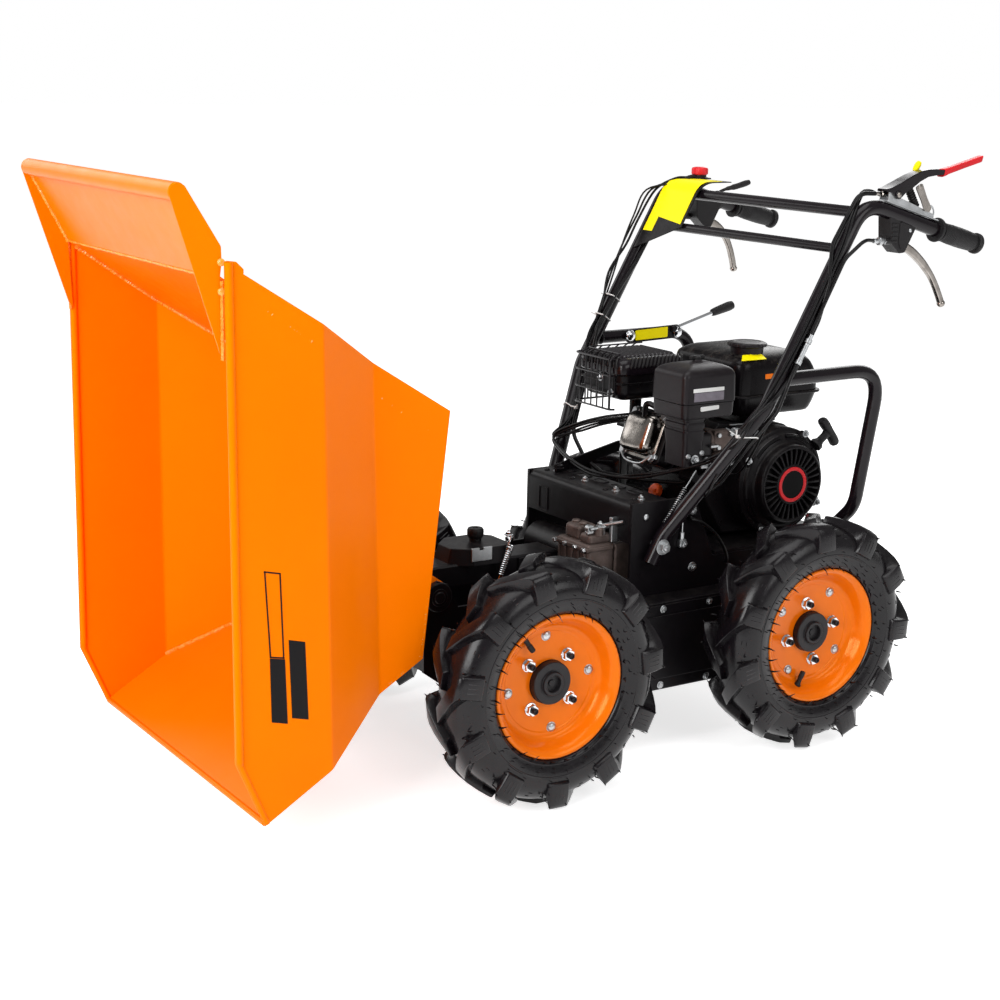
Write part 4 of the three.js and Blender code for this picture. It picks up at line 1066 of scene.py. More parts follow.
def chain_cases():
    for s in SIDES:
        side = SIDE_NAME[s]
        body = rounded(CASE_BODY, [14, 14, 14, 14, 12, 12, 12, 12], 5)
        shapes = [soft_plate(body, *across(s, PLATE_OUT + 0.3, CASE_OUT - 4), width=3.0, segments=3)]
        shapes.append(soft_plate(rounded(CASE_LID, 12, 5), *across(s, CASE_OUT - 4, CASE_OUT), width=1.2))
        press = oblong((-470, -78), (128, 240), 16, 5)
        a, b = across(s, CASE_OUT, CASE_OUT + 2.5)
        shapes.append(soft_plate(press, a, b, width=2.0, segments=3, angle=50))
        screws = []
        spots = [(x, z) for x in (-500, -400, -300, -200, -100, -44) for z in (116, 251)]
        for x, z in spots + [(-594, 186), (50, 186)]:
            screws += [hexagon((x, s * CASE_OUT, z), (0, s, 0), 8, 4, x),
                       washer((x, s * CASE_OUT, z), (0, s, 0), 6.5, 1)]
        for x in AXLE_X:
            shapes.append(turned(AXLE_SEAL, (x, s * CASE_OUT, AXLE_Z), (0, s, 0), 48))
            for k in range(4):
                t = radians(45 + 90 * k)
                c = (x + SEAL_BOLT_CIRCLE * cos(t), s * (CASE_OUT + 6), AXLE_Z + SEAL_BOLT_CIRCLE * sin(t))
                screws.append(hexagon(c, (0, s, 0), 8, 5, t))
        piece("chain_case_body_" + side, shapes, frame_black, stands_for=["chain_case_" + side])
        piece("chain_case_bolts_" + side, screws, zinc, sharp=25)


def gearbox():
    """Cast case with ribs, its shift arm on top and the axle case below."""
    y0, y1 = 25.0, 118.0
    shapes = [soft_block((-262, -205.5), (y0, y1), (154.5, 352), 6),
              soft_block((-345, -262), (y0, y1), (154.5, 348), 6),
              soft_block((-324, -225), (-128, 128), (154.5, 257), 12, 4),
              soft_block((-254, -214), (y0 + 10, y0 + 52), (350, 376), 7, 3),
              soft_block((-257, -211), (y0 + 58, y1 - 4), (350, 368), 6, 3)]
    for y in (y0 + 12, y0 + 31, y0 + 50, y0 + 69, y0 + 85):     # ribs on the front face
        shapes.append(soft_block((-209, -201.5), (y - 2, y + 2), (268, 338), 1.4))
    for z in (262, 344):                                      # split flange of the case
        shapes.append(soft_block((-258, -200.5), (y0 - 3, y1 + 3), (z - 4, z + 4), 2))
    for y in (y0 + 20, y0 + 42, y0 + 66, y0 + 86):
        shapes.append(turned([(8, 0), (8, 12), (6, 14)], (-232, y, 366), UP, 20))
    shapes.append(turned([(17, 0), (17, 8), (14, 11), (14, 18), (11, 20)], (-206, 72, 304), AHEAD, 32))
    drum = turned([(36, -128), (36, 20), (30, 24)], (-275, 0, 300), LEFT, 40)
    piece("gearbox_case", [(p, 0) for p in shapes] + [(drum, 1)], [cast_alloy, frame_black],
          stands_for=["gearbox"])
    bits = []
    for y in (y0 + 4, y0 + 34, y0 + 64, y1 - 4):
        for z in (262, 344):
            bits += [hexagon((-200.5, y, z), AHEAD, 8, 5, y)]
    bits += [rod((-213, 112, 378), (-300, 112, 383), 3.2, 12), rod((-218, 98, 374), (-308, 99, 377), 3.6, 12),
             turned([(7, -5), (7, 5)], (-216, 106, 378), LEFT, 20),
             turned([(9, 0), (9, 12), (6, 14)], (-240, 104, 366), UP, 20),
             soft_block((-246, -210), (100, 108), (368, 374), 2),
             rod((-240, 104, 380), (-262, 140, 392), 3.4, 12),
             soft_block((-272, -252), (112, 120), (352, 396), 2)]
    bits += bolt((-240, 104, 380), UP, 9, 5)
    piece("gearbox_shift_arm", bits, zinc, sharp=30)


def beam():
    pedestal = rounded([(-104, -26), (-84, -50), (-22, -50), (6, -22), (6, 20), (-26, 43), (-88, 43),
                        (-104, 24)], 5, 3)
    low = rounded([(-110, -30), (-88, -56), (-16, -56), (14, -26), (14, 22), (-22, 47), (-92, 47),
                   (-110, 28)], 5, 3)
    shapes = [soft_block((-204.7, 65.7), (-32, 32), (286, 326), 4, 3),
              softened(skin([[(x, y, 322) for x, y in low], [(x, y, 351) for x, y in pedestal]]), 1.5, 3, 40),
              soft_block((-186, -120), (32, 36), (290, 322), 1.0),
              soft_block((-170, -128), (34, 66), (296, 300), 1.2),
              turned([(11, 0), (11, 14), (14.5, 15), (14.5, 17)], (-148, 52, 299), UP, 28)]
    piece("front_beam_box", shapes, frame_black, stands_for=["front_beam"])
    cap = turned([(15.5, 0), (15.5, 6.5), (13.5, 8.5), (6, 8.8), (5, 8.2)], (-148, 52, 316), UP, 36)
    piece("oil_filler_cap", [cap], moulded_black)
    low_z, high_z = 351.3, 373.5
    tall = high_z - low_z
    rubber_line = [(10.5, 0), (10.5, 4), (12.2, 5.5), (14.2, 10), (14.5, 16), (14.2, 19.5), (12.4, tall),
                   (5.0, tall), (4.2, tall - 1.6)]
    piece("tub_buffer_rubber", [turned(rubber_line, (-59, -8, low_z), UP, 40)], grip_rubber,
          stands_for=["tub_buffer"])
    tab = [(-58, 331), (-18, 331), (-18, 354), (-33, 354), (-33, 349), (-42, 349), (-42, 354), (-58, 354)]
    piece("latch_plate", [soft_plate(rounded(tab, 0.8, 2), 44.5, 47.5, width=0.5)], zinc)
    spring_top, spring_end = at(-92, 52, 353), at(-73, 50, 301)
    way = (spring_end - spring_top).normalized()
    hooks = [coil(spring_top, spring_end, 5.6, 1.15, 15),
             bent([spring_top + at(5, 0, 0), spring_top - way * 6 + at(4, 0, 0),
                   spring_top - way * 14 + at(0, -5, 4), (-97, 44, 364)], 1.3, 4, 8),
             bent([spring_end, spring_end + way * 8, spring_end + way * 13 + at(0, -8, 0)], 1.3, 4, 8),
             rod((-98, 36, 350), (-98, 36, 366), 4, 12),
             turned([(4, 0), (8, 1), (8, 5), (4, 6)], (-98, 36, 361), LEFT, 16),
             rod((-66, 30, 289), (-66, 54, 289), 3.4, 12)]
    hooks += bolt((-98, 36, 366), UP, 9, 5)
    piece("latch_spring", hooks, chrome, weighted=False)


def hinge_shaft():
    x, z = HINGE.x, HINGE.z
    end = 166.5
    shapes = [rod((x, -end, z), (x, end, z), 10, 32, 1.5)]
    for s in SIDES:
        shapes.append(washer((x, s * (PLATE_OUT + 4.6), z), (0, s, 0), 14.5, 1.6, 32))
    piece("hinge_shaft", shapes, frame_black, stands_for=["hinge_pin"], slot="zinc")


for build in (frame_plates, cover, strap, chain_cases, gearbox, beam, hinge_shaft):
    build()


# ---------------------------------------------------------------- engine
CRANK = at(-618, 0, 424)
LEAN = radians(21)                # the cylinder leans this far above level
HEAD_END = 222.0
FEET_X = (-690, -540)
COVER_BOLT_TURN = 29              # degrees from level to the first bolt of the starter's cover
ALONG = Matrix.Translation(CRANK) @ Matrix.Rotation(-LEAN, 4, "Y")   # x along the cylinder, z across it


def on_cylinder(shape):
    return moved(shape, ALONG)


def round_crank(r, y, t):
    return at(CRANK.x + r * cos(t), y, CRANK.z + r * sin(t))


def about_crank(profile, sides, loop=False):
    return turned(profile, CRANK, LEFT, sides, loop=loop)


def level_ring(x, y, z, corner, steps):
    """One level of a moulded box."""
    return [(a, b, z) for a, b in oblong(x, y, corner, steps)]


def crankcase():
    base = rounded([(-718, 321.3), (-508, 321.3), (-506, 444), (-578, 512), (-688, 512), (-722, 454)],
                   [4, 4, 20, 24, 24, 24], 5)
    shapes = [soft_plate(base, -103, 60, width=6, segments=3)]
    shapes += [soft_block((x - 2.5, x + 2.5), (-106, -100), (330, 420),
                          1.6) for x in (-690, -640, -590, -540)]
    shapes.append(turned([(40, 0), (40, 8), (34, 14), (20, 16), (16, 18)], CRANK + at(0, -103, 0), RIGHT, 40))
    shapes += [soft_block((x - 16, x + 16), (-118, 70), (321.2, 333), 3) for x in FEET_X]
    fin = rounded([(-58, -48), (58, -48), (58, 50), (-58, 50)], 14, 4)
    head = rounded([(-56, -46), (56, -46), (56, 48), (-56, 48)], 10, 4)
    cylinder = [turned([(44, 60), (44, 196)], (0, 0, 0), AHEAD, 40)]
    cylinder += [plate(fin, 92 + 9.4 * k, 94.6 + 9.4 * k, "x") for k in range(11)]
    cylinder.append(soft_plate(head, 196, HEAD_END, "x", width=3, segments=3))
    piece("engine_crankcase", shapes + [on_cylinder(p) for p in cylinder], engine_black,
          stands_for=["engine_block"])

    shaft = rod(CRANK + at(0, -100, 0), CRANK + at(0, -165, 0), 12.5, 32, 1.5)
    groove = [(14, 0), (46, 0), (48, 1.5), (48, 3), (38, 8), (38, 11), (48, 16), (48, 17.5),
              (46, 19), (18, 19), (18, 24), (14, 24)]
    piece("drive_pulley", [shaft, turned(groove, CRANK + at(0, -130, 0), RIGHT, 56, loop=True)], zinc)

    slant = (1, 0, 0.4)           # the oil filler points up and ahead
    piece("oil_filler_neck", [turned([(11, 0), (11, 5), (8, 6), (8, 16)], (-507, -64, 372), slant, 20)],
          engine_black)
    cap = turned([(14.5, 0), (14.5, 8), (12, 11), (4, 11.6)], (-492, -64, 378), slant, 12)
    piece("oil_dipstick_cap", [cap, soft_block((-484, -478), (-73, -55), (378, 386), 2)], amber_plastic)

    bits = []
    for x in FEET_X:
        for y in (-110, 63):
            bits += bolt((x, y, 333), UP, 11, 6, x + y)
    bits += [hexagon(round_crank(64, -103, t), RIGHT, 10, 6, t) for t in turns(6, radians(20))]
    bits += [on_cylinder(hexagon((HEAD_END, y, h), AHEAD, 11, 7, h)) for h in (-34, 38) for y in (-46, 46)]
    piece("engine_bolts", bits, zinc, sharp=25)


VALVE_COVER_DOME = ((225, 1.0), (230, 1.0), (236, 0.99), (241, 0.965), (245, 0.92), (248, 0.86), (250, 0.78),
                    (251.2, 0.68), (251.9, 0.5), (252.2, 0.25))        # distance along, share of the outline


def valve_cover():
    flange = rounded([(-46, -42), (46, -42), (46, 44), (-46, 44)], 14, 5)
    body = rounded([(-41, -37), (41, -37), (41, 39), (-41, 39)], 22, 9)
    rings = [[(a, y * f, 1 + (h - 1) * f) for y, h in body] for a, f in VALVE_COVER_DOME]
    shapes = [soft_plate(flange, HEAD_END + 0.4, HEAD_END + 4.4, "x", width=1.2), skin(rings)]
    piece("valve_cover_shell", [on_cylinder(p) for p in shapes], lever_metal, stands_for=["valve_cover"],
          sharp=60, weighted=False)
    screws = []
    for y in (-41, 41):
        for h in (-37, 39):
            screws += [turned([(6.5, 0), (6.5, 5), (5.6, 6)], (HEAD_END + 4.4, y, h), AHEAD, 6),
                       washer((HEAD_END + 4.2, y, h), AHEAD, 7.6, 1.2)]
    stay = [(HEAD_END + 9, 41, -37), (HEAD_END + 11, 20, -52), (HEAD_END + 10, -20, -52),
            (HEAD_END + 9, -41, -40)]
    screws.append(wire(stay, 2.2, 8, 5))
    piece("valve_cover_screws", [on_cylinder(p) for p in screws], zinc, sharp=25)
    hose = [ALONG @ at(246, 10, 30), ALONG @ at(262, 26, 52), (-412, 52, 556), (-424, 74, 576)]
    piece("breather_hose", [wire(hose, 5.2, 14)], cable_black)
    boot = turned([(9, 0), (9, 12), (11, 14), (11, 34), (8, 38), (6, 40)], (204, 58, -14), (0.25, 1, 0.1), 20)
    lead = [ALONG @ at(212, 94, -10), ALONG @ at(196, 104, 16), (-455, 98, 484), (-520, 78, 482)]
    piece("spark_plug_lead", [on_cylinder(boot), wire(lead, 3.6, 12)], cable_black)


def fan_housing():
    """Pressed cover that leads the fan's air from the starter to the cylinder."""
    arc = [round_crank(100, 0, radians(75 + 210 * k / 24)) for k in range(25)]
    top, low = ALONG @ at(150, 0, 60), ALONG @ at(150, 0, -58)
    outline = [(p.x, p.z) for p in arc] + [(low.x - 60, 330), (low.x, low.z), (low.x + 20, low.z + 12),
                                           (top.x + 12, top.z - 10), (top.x, top.z)]
    ridge = [round_crank(91, 95.5, radians(40 + 8 * k)) for k in range(33)]
    piece("fan_housing", [soft_plate(rounded(outline, 5, 2), 58, 95, width=5, segments=3, angle=50),
                          tube(ridge, 2.4, 8)], engine_black)
    heads = []
    for k, t in enumerate(turns(4, radians(COVER_BOLT_TURN))):
        heads += bolt(round_crank(96, 139, t), LEFT, 8, 5, k)
    piece("starter_bolts", heads, zinc, sharp=25)


STARTER_SHELL = [(97.8, 95.3), (97.8, 128), (96.5, 131), (93, 132.5), (90, 132.5),
                 (88.6, 134.4), (87.8, 137.8), (85, 140.6), (80, 142.2), (76, 143.4), (73.4, 146),
                 (72.4, 150), (71.8, 158), (70.2, 162),
                 (67, 164.2), (64.6, 163.8), (63.6, 161.6), (63.4, 150), (30, 150), (30, 120)]
SPOKE, SPOKES = ((35, 1.3, 162.6), (48, 1.6, 163.6), (60, 2.0, 163.8), (65.4, 2.2, 162.6)), 30
STARTER_OPENINGS = ((38, 78), (88, 128), (138, 178), (188, 228), (318, 345))     # degrees from and to


def recoil_starter():
    lugs = [turned([(10, 0), (10, 6.6), (8.6, 8)], round_crank(90, 131, t), LEFT, 24)
            for t in turns(4, radians(COVER_BOLT_TURN))]
    ribs = []
    for t in turns(SPOKES):
        radial, sideways = at(cos(t), 0, sin(t)), at(-sin(t), 0, cos(t))
        rings = []
        for r, half, y in SPOKE:
            c = CRANK + radial * r
            rings.append([c + sideways * h + at(0, y - deep, 0)
                          for h, deep in ((half, 0), (-half, 0), (-half, 9), (half, 9))])
        ribs.append(softened(skin(rings), 0.6, 2, 50))
    hub = about_crank([(37, 152), (37, 162.6), (35.6, 164.2), (33.5, 164.4), (32.6, 163.4), (4, 163.4)], 64)
    lip = about_crank([(64.8, 160.8), (66.4, 160.8), (66.4, 163.8), (64.8, 163.8)], 96, loop=True)
    piece("recoil_cover", [about_crank(STARTER_SHELL, 96)] + lugs + ribs + [hub, lip], engine_black,
          stands_for=["recoil_starter"], slot="black_plastic", sharp=42)
    slots, lips = [], []
    # each opening is a near-black bar that paints the shade in the hole, between two thin glossy lips
    for start, end in STARTER_OPENINGS:      # curved openings round the grille
        for r, y, thick, kept in ((83.2, 141.4, 2.8, slots), (79.8, 143.0, 0.9, lips),
                                  (86.8, 139.2, 1.0, lips)):
            arc = [round_crank(r, y, radians(start + (end - start) * j / 10)) for j in range(11)]
            kept.append(tube(arc, thick, 8))
    piece("starter_openings", slots, starter_black_and_shade, weighted=False)
    piece("starter_opening_lips", lips, bar_black, slot="black_plastic", weighted=False)
    ring = [(25.4, 163.2), (25.4, 164.5), (26.4, 164.95), (30.8, 164.95), (31.8, 164.5), (31.8, 163.2)]
    piece("starter_centre_ring", [about_crank(ring, 64, loop=True)], red_plastic)
    piece("starter_centre_disc", [about_crank([(25.0, 163.2), (25.0, 164.2), (24.2, 164.6), (1, 164.6)], 64)],
          starter_black_and_shade)
    # the floor behind the grille in near-black, painted shade inside the cover
    piece("starter_reel", [about_crank([(60, 144), (60, 150.6), (2, 150.6)], 48)], starter_black_and_shade)


def recoil_grip():
    angle = radians(143)
    way, along = at(cos(angle), 0, sin(angle)), at(-sin(angle), 0, cos(angle))
    centre = CRANK + at(0, 133, 0)
    stem = turned([(12, 0), (12, 6), (9, 10), (7.4, 14), (7, 28), (8.6, 33)], centre + way * 96, way, 24)
    rings = []
    for d, r in ((-30, 6), (-29, 8.4), (-26, 10), (-17, 10.6), (-8, 9.8), (0, 9.6), (8, 9.8), (17, 10.6),
                 (26, 10), (29, 8.4), (30, 6)):
        c = centre + way * 136 + along * d - way * (abs(d) / 30) ** 2 * 1.5
        rings.append([c + (way * cos(q) * 0.86 + at(0, 1, 0) * sin(q)) * r for q in turns(24)])
    piece("recoil_pull", [stem, skin(rings)], grip_rubber, stands_for=["recoil_grip"], slot="black_plastic")


# rows of height, inset, corner radius and how far the rear edge moves ahead
TANK_LOWER = ((536.0, 24, 18), (538.0, 19, 20), (543.0, 15.5, 22), (552.0, 12, 24), (566.0, 8, 26),
              (572.0, 6.5, 27))
TANK_UPPER = ((576.0, 6, 28), (590.0, 6, 28), (606.0, 6.5, 28, 2), (619.0, 7.2, 28, 8), (628.0, 8.2, 28, 13),
              (632.5, 9.6, 27, 16), (636.2, 12, 25, 18), (640.4, 17, 22, 20), (644.6, 25, 18, 22),
              (648.2, 35, 14, 22), (650.4, 48, 12, 20), (651.4, 66, 10, 16), (651.8, 84, 8, 14))
CAP_ROWS = ((29, 2), (29.6, 13.4), (30.4, 14.6), (33.8, 15), (34.8, 16), (34.8, 20), (33.6, 21.6), (31, 22.6),
            (25, 23), (24, 22.4), (3, 22.4))


def fuel_tank():
    x0, x1, y0, y1 = -746.0, -538.0, -116.0, 98.0

    def level(z, inset, corner, rear=0.0):
        return level_ring((x0 + inset + rear, x1 - inset), (y0 + inset, y1 - inset), z, corner, 6)

    seam = oblong((x0 + 0.5, x1 - 0.5), (y0 + 0.5, y1 - 0.5), 30, 7)
    shapes = [skin([level(*row) for row in TANK_LOWER]), skin([level(*row) for row in TANK_UPPER]),
              softened(plate(seam, 571.5, 576.5, "z"), 1.6, 3, 40)]
    shapes += [soft_block((x - 14, x + 14), (-58, 38), (512.5, 541),
                          3) for x in (-668, -612)]  # mounting lugs
    piece("fuel_tank_shell", shapes, tank_black, stands_for=["fuel_tank"], sharp=55)
    c = at(-597, 46, 644.0)
    rings = []
    for r, h in CAP_ROWS:
        ring = []
        for q in turns(144):
            notch = 0.9 if cos(24 * q) > -0.2 and 15.5 < h < 21 else 0.0
            ring.append(c + at((r + notch) * cos(q), (r + notch) * sin(q), h))
        rings.append(ring)
    piece("fuel_cap_ribbed", [skin(rings)], moulded_black, stands_for=["fuel_cap"], sharp=30)
    lines = [[at(x + s * (y - 80), y, z) for y, z in ((88, 639.6), (80, 643.2), (72, 646.4))]
             for x, s in ((-557, 0.9), (-581, 0.4), (-607, 0.0))]
    piece("tank_label_plate", [folded([list(r) for r in zip(*lines)], at(0, 0.3, 1.0))], yellow_label)
    mark = soft_plate(oblong((-628, -604), (604, 613), 1.5, 2), 89.6, 91.8, width=0.2)
    piece("tank_side_label", [mark], rim_orange)


AIR_BASE = ((557.6, 6, 9), (559, 3.6, 10), (564, 2.2, 11), (583.6, 1.4, 11))
AIR_LID = ((585, 0.5, 11), (587, 0, 11), (629, 0.8, 11), (634.5, 2, 11), (639.4, 5, 10, 1), (643, 10, 9, 3),
           (646, 17, 8, 5), (648.4, 26, 7, 6), (649.4, 36, 6, 6))
AIR_DUCT = ((559, 0), (554, 0), (552.6, 1), (549.6, 1), (548, 0), (540, 0), (538.5, 1), (535.5, 1), (534, 0),
            (512, 1), (488, 1), (480, 1), (474, 1))         # height, full or grooved outline


def air_cleaner():
    x0, x1, y0, y1 = -489.0, -373.0, 57.0, 152.0

    def level(z, inset, corner, slope=0.0):
        return level_ring((x0 + inset, x1 - inset - slope), (y0 + inset, y1 - inset), z, corner, 5)

    shapes = [softened(skin([level(*row) for row in AIR_BASE]), 0.5, 2, 60),
              skin([level(*row) for row in AIR_LID])]
    duct = [oblong((-431, -384), (82, 143), 8, 4), oblong((-429, -386), (84, 142), 8, 4)]
    shapes.append(skin([[(x, y, z) for x, y in duct[k]] for z, k in AIR_DUCT]))
    shapes.append(soft_block((-468, -427), (58.5, 118), (480, 523), 6, 3))
    knob = at(-440, 98, 647.5)
    shapes.append(turned([(13, 0), (13, 1.6), (9, 2.4), (8.5, 4), (7, 5)], knob, UP, 24))
    piece("air_cleaner_case", shapes, moulded_black, stands_for=["air_cleaner"], sharp=42)
    wing = [soft_block((knob.x - 16, knob.x + 16), (knob.y - 3, knob.y + 3),
                       (knob.z + 4, knob.z + 12), 2.4, 3),
            turned([(7, 3), (7, 9), (5, 11)], knob, UP, 20)]
    piece("air_cleaner_knob", wing, grip_rubber, slot="black_plastic")
    white = soft_plate(oblong((-459, -392), (605, 611.5), 0.8), 151.2, 152.5, width=0.2)
    grey = soft_plate(oblong((-459, -394), (589, 604), 0.8), 151.2, 152.3, width=0.2)
    low = soft_plate(rounded([(-450, 573), (-410, 571), (-410, 579), (-450, 580)], 2, 3), 150.2,
                     151.4, width=0.2)
    piece("air_cleaner_label", [(white, 0), (low, 0), (grey, 1)], [grey_label, print_grey])
    clips = [domed((x, 141.8, z), LEFT, 5, 3) for x, z in ((-424, 496), (-394, 492))]
    piece("air_cleaner_clips", clips, zinc)


def carburettor():
    """The carburettor, its levers and the governor linkage behind the air duct."""
    alloy = [soft_block((-520, -478), (72, 110), (486, 524), 5, 3),
             turned([(14, 0), (14, 20), (10, 24)], (-499, 91, 462), UP, 28),
             turned([(19, 0), (19, 8), (16, 10)], (-478, 91, 505), AHEAD, 28),
             soft_block((-536, -520), (78, 104), (494, 516), 3)]
    piece("carburettor_body", alloy, cast_alloy)
    bits = [rod((-500, 112, 528), (-560, 112, 500), 1.6, 8), rod((-512, 108, 532), (-590, 104, 528), 1.4, 8),
            coil((-516, 114, 524), (-566, 108, 512), 3.6, 0.8, 16),
            soft_block((-574, -562), (100, 118), (498, 502), 1.2),
            soft_plate(rounded([(-600, 486), (-588, 480), (-552, 524), (-562, 532)], 4, 3), 112,
                       114.5, width=0.5),
            soft_block((-476, -458), (110, 126), (498, 503), 1.5),
            soft_block((-470, -440), (120, 124), (462, 470), 1.4),
            turned([(5, 0), (5, 12), (3.6, 13)], (-462, 110, 466), LEFT, 18),
            rod((-500, 128, 476), (-478, 128, 470), 3.2, 12, 1),
            rod((-531, 118, 470), (-508, 122, 462), 3.0, 12, 1)]
    bits += [hexagon(spot, LEFT, 8, 5, spot[0]) for spot in (
        (-486, 110.4, 516), (-514, 110.4, 516), (-486, 110.4, 494), (-514, 110.4, 494), (-448, 122, 478))]
    bits += bolt((-451, 121, 474), LEFT, 10, 6) + bolt((-408, 143, 486), LEFT, 10, 5)
    piece("carburettor_linkage", bits, zinc, sharp=28)
    knobs = [soft_block((-566, -548), (108, 118), (470, 480), 3),
             soft_block((-560, -530), (112, 117), (446, 453), 2),
             rod((-540, 96, 520), (-540, 118, 520), 8, 20, 2)]
    piece("choke_lever", knobs, moulded_black)


SHIELD_ROWS = ((614, 1.5, 20), (616, 0, 20), (627, 0, 20), (634, 2, 19), (639, 6, 17),
               (642, 11.5, 14), (643, 18, 10))
LOUVRE_RADII = [1.0] + [2.1] * 11 + [1.0]


def muffler():
    x0, x1, y0, y1 = -494.0, -356.0, -128.0, -4.0
    shapes = [soft_block((x0, x1), (y0, y1), (566.0, 632.0), 18, 5),
              soft_block((x0 - 1.5, x1 + 1.5), (y0 - 1.5, y1 + 1.5), (596, 599), 1.2),
              soft_block((x1 - 2, x1 + 4), (-70, -22), (572, 612), 5, 3),
              turned([(11, 0), (11, 62)], (-452, -88, 504), UP, 24),
              bent([(-452, -88, 520), (-452, -88, 505), (-430, -70, 496), (-418, -60, 490)], 11, 14, 20),
              soft_block((-476, -428), (-112, -66), (500, 506), 2)]
    piece("muffler_body", shapes, engine_black, stands_for=["muffler"])

    # heat shield with its edge rolled down and louvres pressed across the roll
    skins = [[level_ring((-498 + i + a, -349 - i - a), (-134 + i + a, 2 - i - a), z - a, r, 5)
              for z, i, r in SHIELD_ROWS] for a in (0.0, 1.6)]
    shapes = [skin(skins[0] + skins[1][::-1])]
    for k in range(13):            # ridges across the top
        x = -477 + k * 9.0
        shapes.append(skin([[(x - 3.6 * cos(q), y,
                              642.4 + 4.6 * f * sin(q)) for q in [pi * j / 8 for j in range(9)]]
                            for y, f in ((-116, 0.25), (-112, 1.0), (-20, 1.0), (-16, 0.25))]))
    louvres = []
    for k in range(14):            # left side, then the front
        x, y = -374 - k * 8.4, -14 - k * 8.0
        rows = [[(x + 4, 2.2, 626), (x + 1, 1.4, 633), (x - 4, -3.5, 640), (x - 9, -11, 643.4)],
                [(-348.8, y + 4, 626), (-349.6, y + 1, 633), (-354.5, y - 4, 640), (-362, y - 9, 643.4)]]
        louvres += [wire(row, LOUVRE_RADII, 8, 4) for row in rows[:2 if k < 13 else 1]]
    piece("muffler_heat_shield", shapes, bar_black)
    piece("muffler_louvres", louvres, lid_black, slot="black_paint", weighted=False)

    # wire cage over the far side and the front
    far, front, near, floor_z, top_z = -137, -345, -24, 551, 640
    wires = [tube(rounded_path([(-488, far, z), (front, far, z), (front, near, z), (-354, -20, z)], 18, 6),
                  1.8 if z in (floor_z, top_z) else 1.4, 8) for z in (floor_z, 580, 611, top_z)]
    wires += [bent([(front, y, floor_z), (front, y, top_z), (-364, y, 649)], 1.4, 8,
                   6) for y in range(-116, -20, 18)]
    wires += [bent([(x, far, floor_z), (x, far, top_z), (x, -122, 649)], 1.4, 8,
                   6) for x in range(-474, -360, 19)]
    wires += [bent([(front, near, floor_z), (front, near, top_z), (-364, near, 649)], 1.8, 8, 6),
              bent([(-488, -122, 649), (-364, -122, 649), (-364, near, 649)], 1.4, 10, 6)]
    piece("muffler_wire_guard", wires, bar_black, weighted=False)
    screws = bolt((x1 + 4, -62, 604), AHEAD, 9, 4) + bolt((x1 + 4, -30, 580), AHEAD, 9, 4)
    piece("muffler_screws", screws, zinc, sharp=25)


for build in (crankcase, valve_cover, fan_housing, recoil_starter, recoil_grip, fuel_tank, air_cleaner,
              carburettor, muffler):
    build()


# ---------------------------------------------------------------- handlebar and controls
BAR_R, BAR_Y = 13.0, 265.0
BAR_PATH = [(-297, 172.3, 322), (-322, 172.3, 368), (-455, 265, 592), (-649, 265, 929), (-822, 272, 877),
            (-919, 272, 851)]
ELBOW_X, ELBOW_Z, CORNER_X, CORNER_Z = -455, 592, -649, 929      # the bends at the ends of the upright run
UPRIGHT_RUN, UPRIGHT_RISE = 194, 337
LOW_RUN, LOW_SPREAD, LOW_RISE = 133, 92.7, 224       # of the run between the foot and the elbow
TOP_RUN, TOP_FALL = 173, 52
BAR_UP = at(-UPRIGHT_RUN, 0, UPRIGHT_RISE).normalized()
BAR_FRONT = at(BAR_UP.z, 0, -BAR_UP.x)


def mirrored(points, s):
    return [at(x, s * y, z) for x, y, z in points]


def bar_at(z, forward=0.0, inboard=0.0, s=1):
    """A point beside the upright run of the bar."""
    x = ELBOW_X - (z - ELBOW_Z) * UPRIGHT_RUN / UPRIGHT_RISE
    return at(x, s * (BAR_Y - inboard), z) + BAR_FRONT * forward


def low_bar(z, dx, dy, s):
    """A point beside the slanting run between the foot and the elbow."""
    share = (ELBOW_Z - z) / LOW_RISE
    return at(ELBOW_X + LOW_RUN * share + dx, s * (BAR_Y - LOW_SPREAD * share + dy), z)


def top_z(x):
    """The height of the bar's top run, which falls towards the grips."""
    return CORNER_Z + (x - CORNER_X) * TOP_FALL / TOP_RUN


def tied(members, way, tail=12):
    """A cable tie pulled tight round the bar and its cables, given as (centre, radius)."""
    u, v = basis(way)
    loop = []
    for k in range(40):
        out = cos(pi * k / 20) * u + sin(pi * k / 20) * v
        centre, radius = max(members, key=lambda m: m[0].dot(out) + m[1])
        loop.append(centre + out * (radius + 0.9))
    head = loop[3]
    return [tube(loop + loop[:2], 1.25, 6), tube([head, head + u * tail * 0.5 + v * tail], 0.9, 5),
            softened(moved(block((-3, 3), (-2.5, 2.5), (-2.5, 2.5)), Matrix.Translation(head)), 0.6)]


def handlebar():
    shapes = [bent(mirrored(BAR_PATH, s), BAR_R, 58, 32, 12) for s in SIDES]
    shapes.append(rod((-643, -BAR_Y, 912), (-643, BAR_Y, 912), 10, 28))
    shapes.append(rod((bar_at(852).x, -BAR_Y, 852), (bar_at(852).x, BAR_Y, 852), 8.5, 28))
    for s in SIDES:
        for x, z, r in ((-643, 912, 10.5), (bar_at(852).x, 852, 9.0)):     # weld collars of the crossbars
            ring = circle((x, s * (BAR_Y - 12.0), z), LEFT, r, 24)
            shapes.append(weld(ring + ring[:1], 1.8, int(z) + s))
    piece("handlebar_tube", shapes, bar_black, stands_for=["handlebar"], weighted=False)


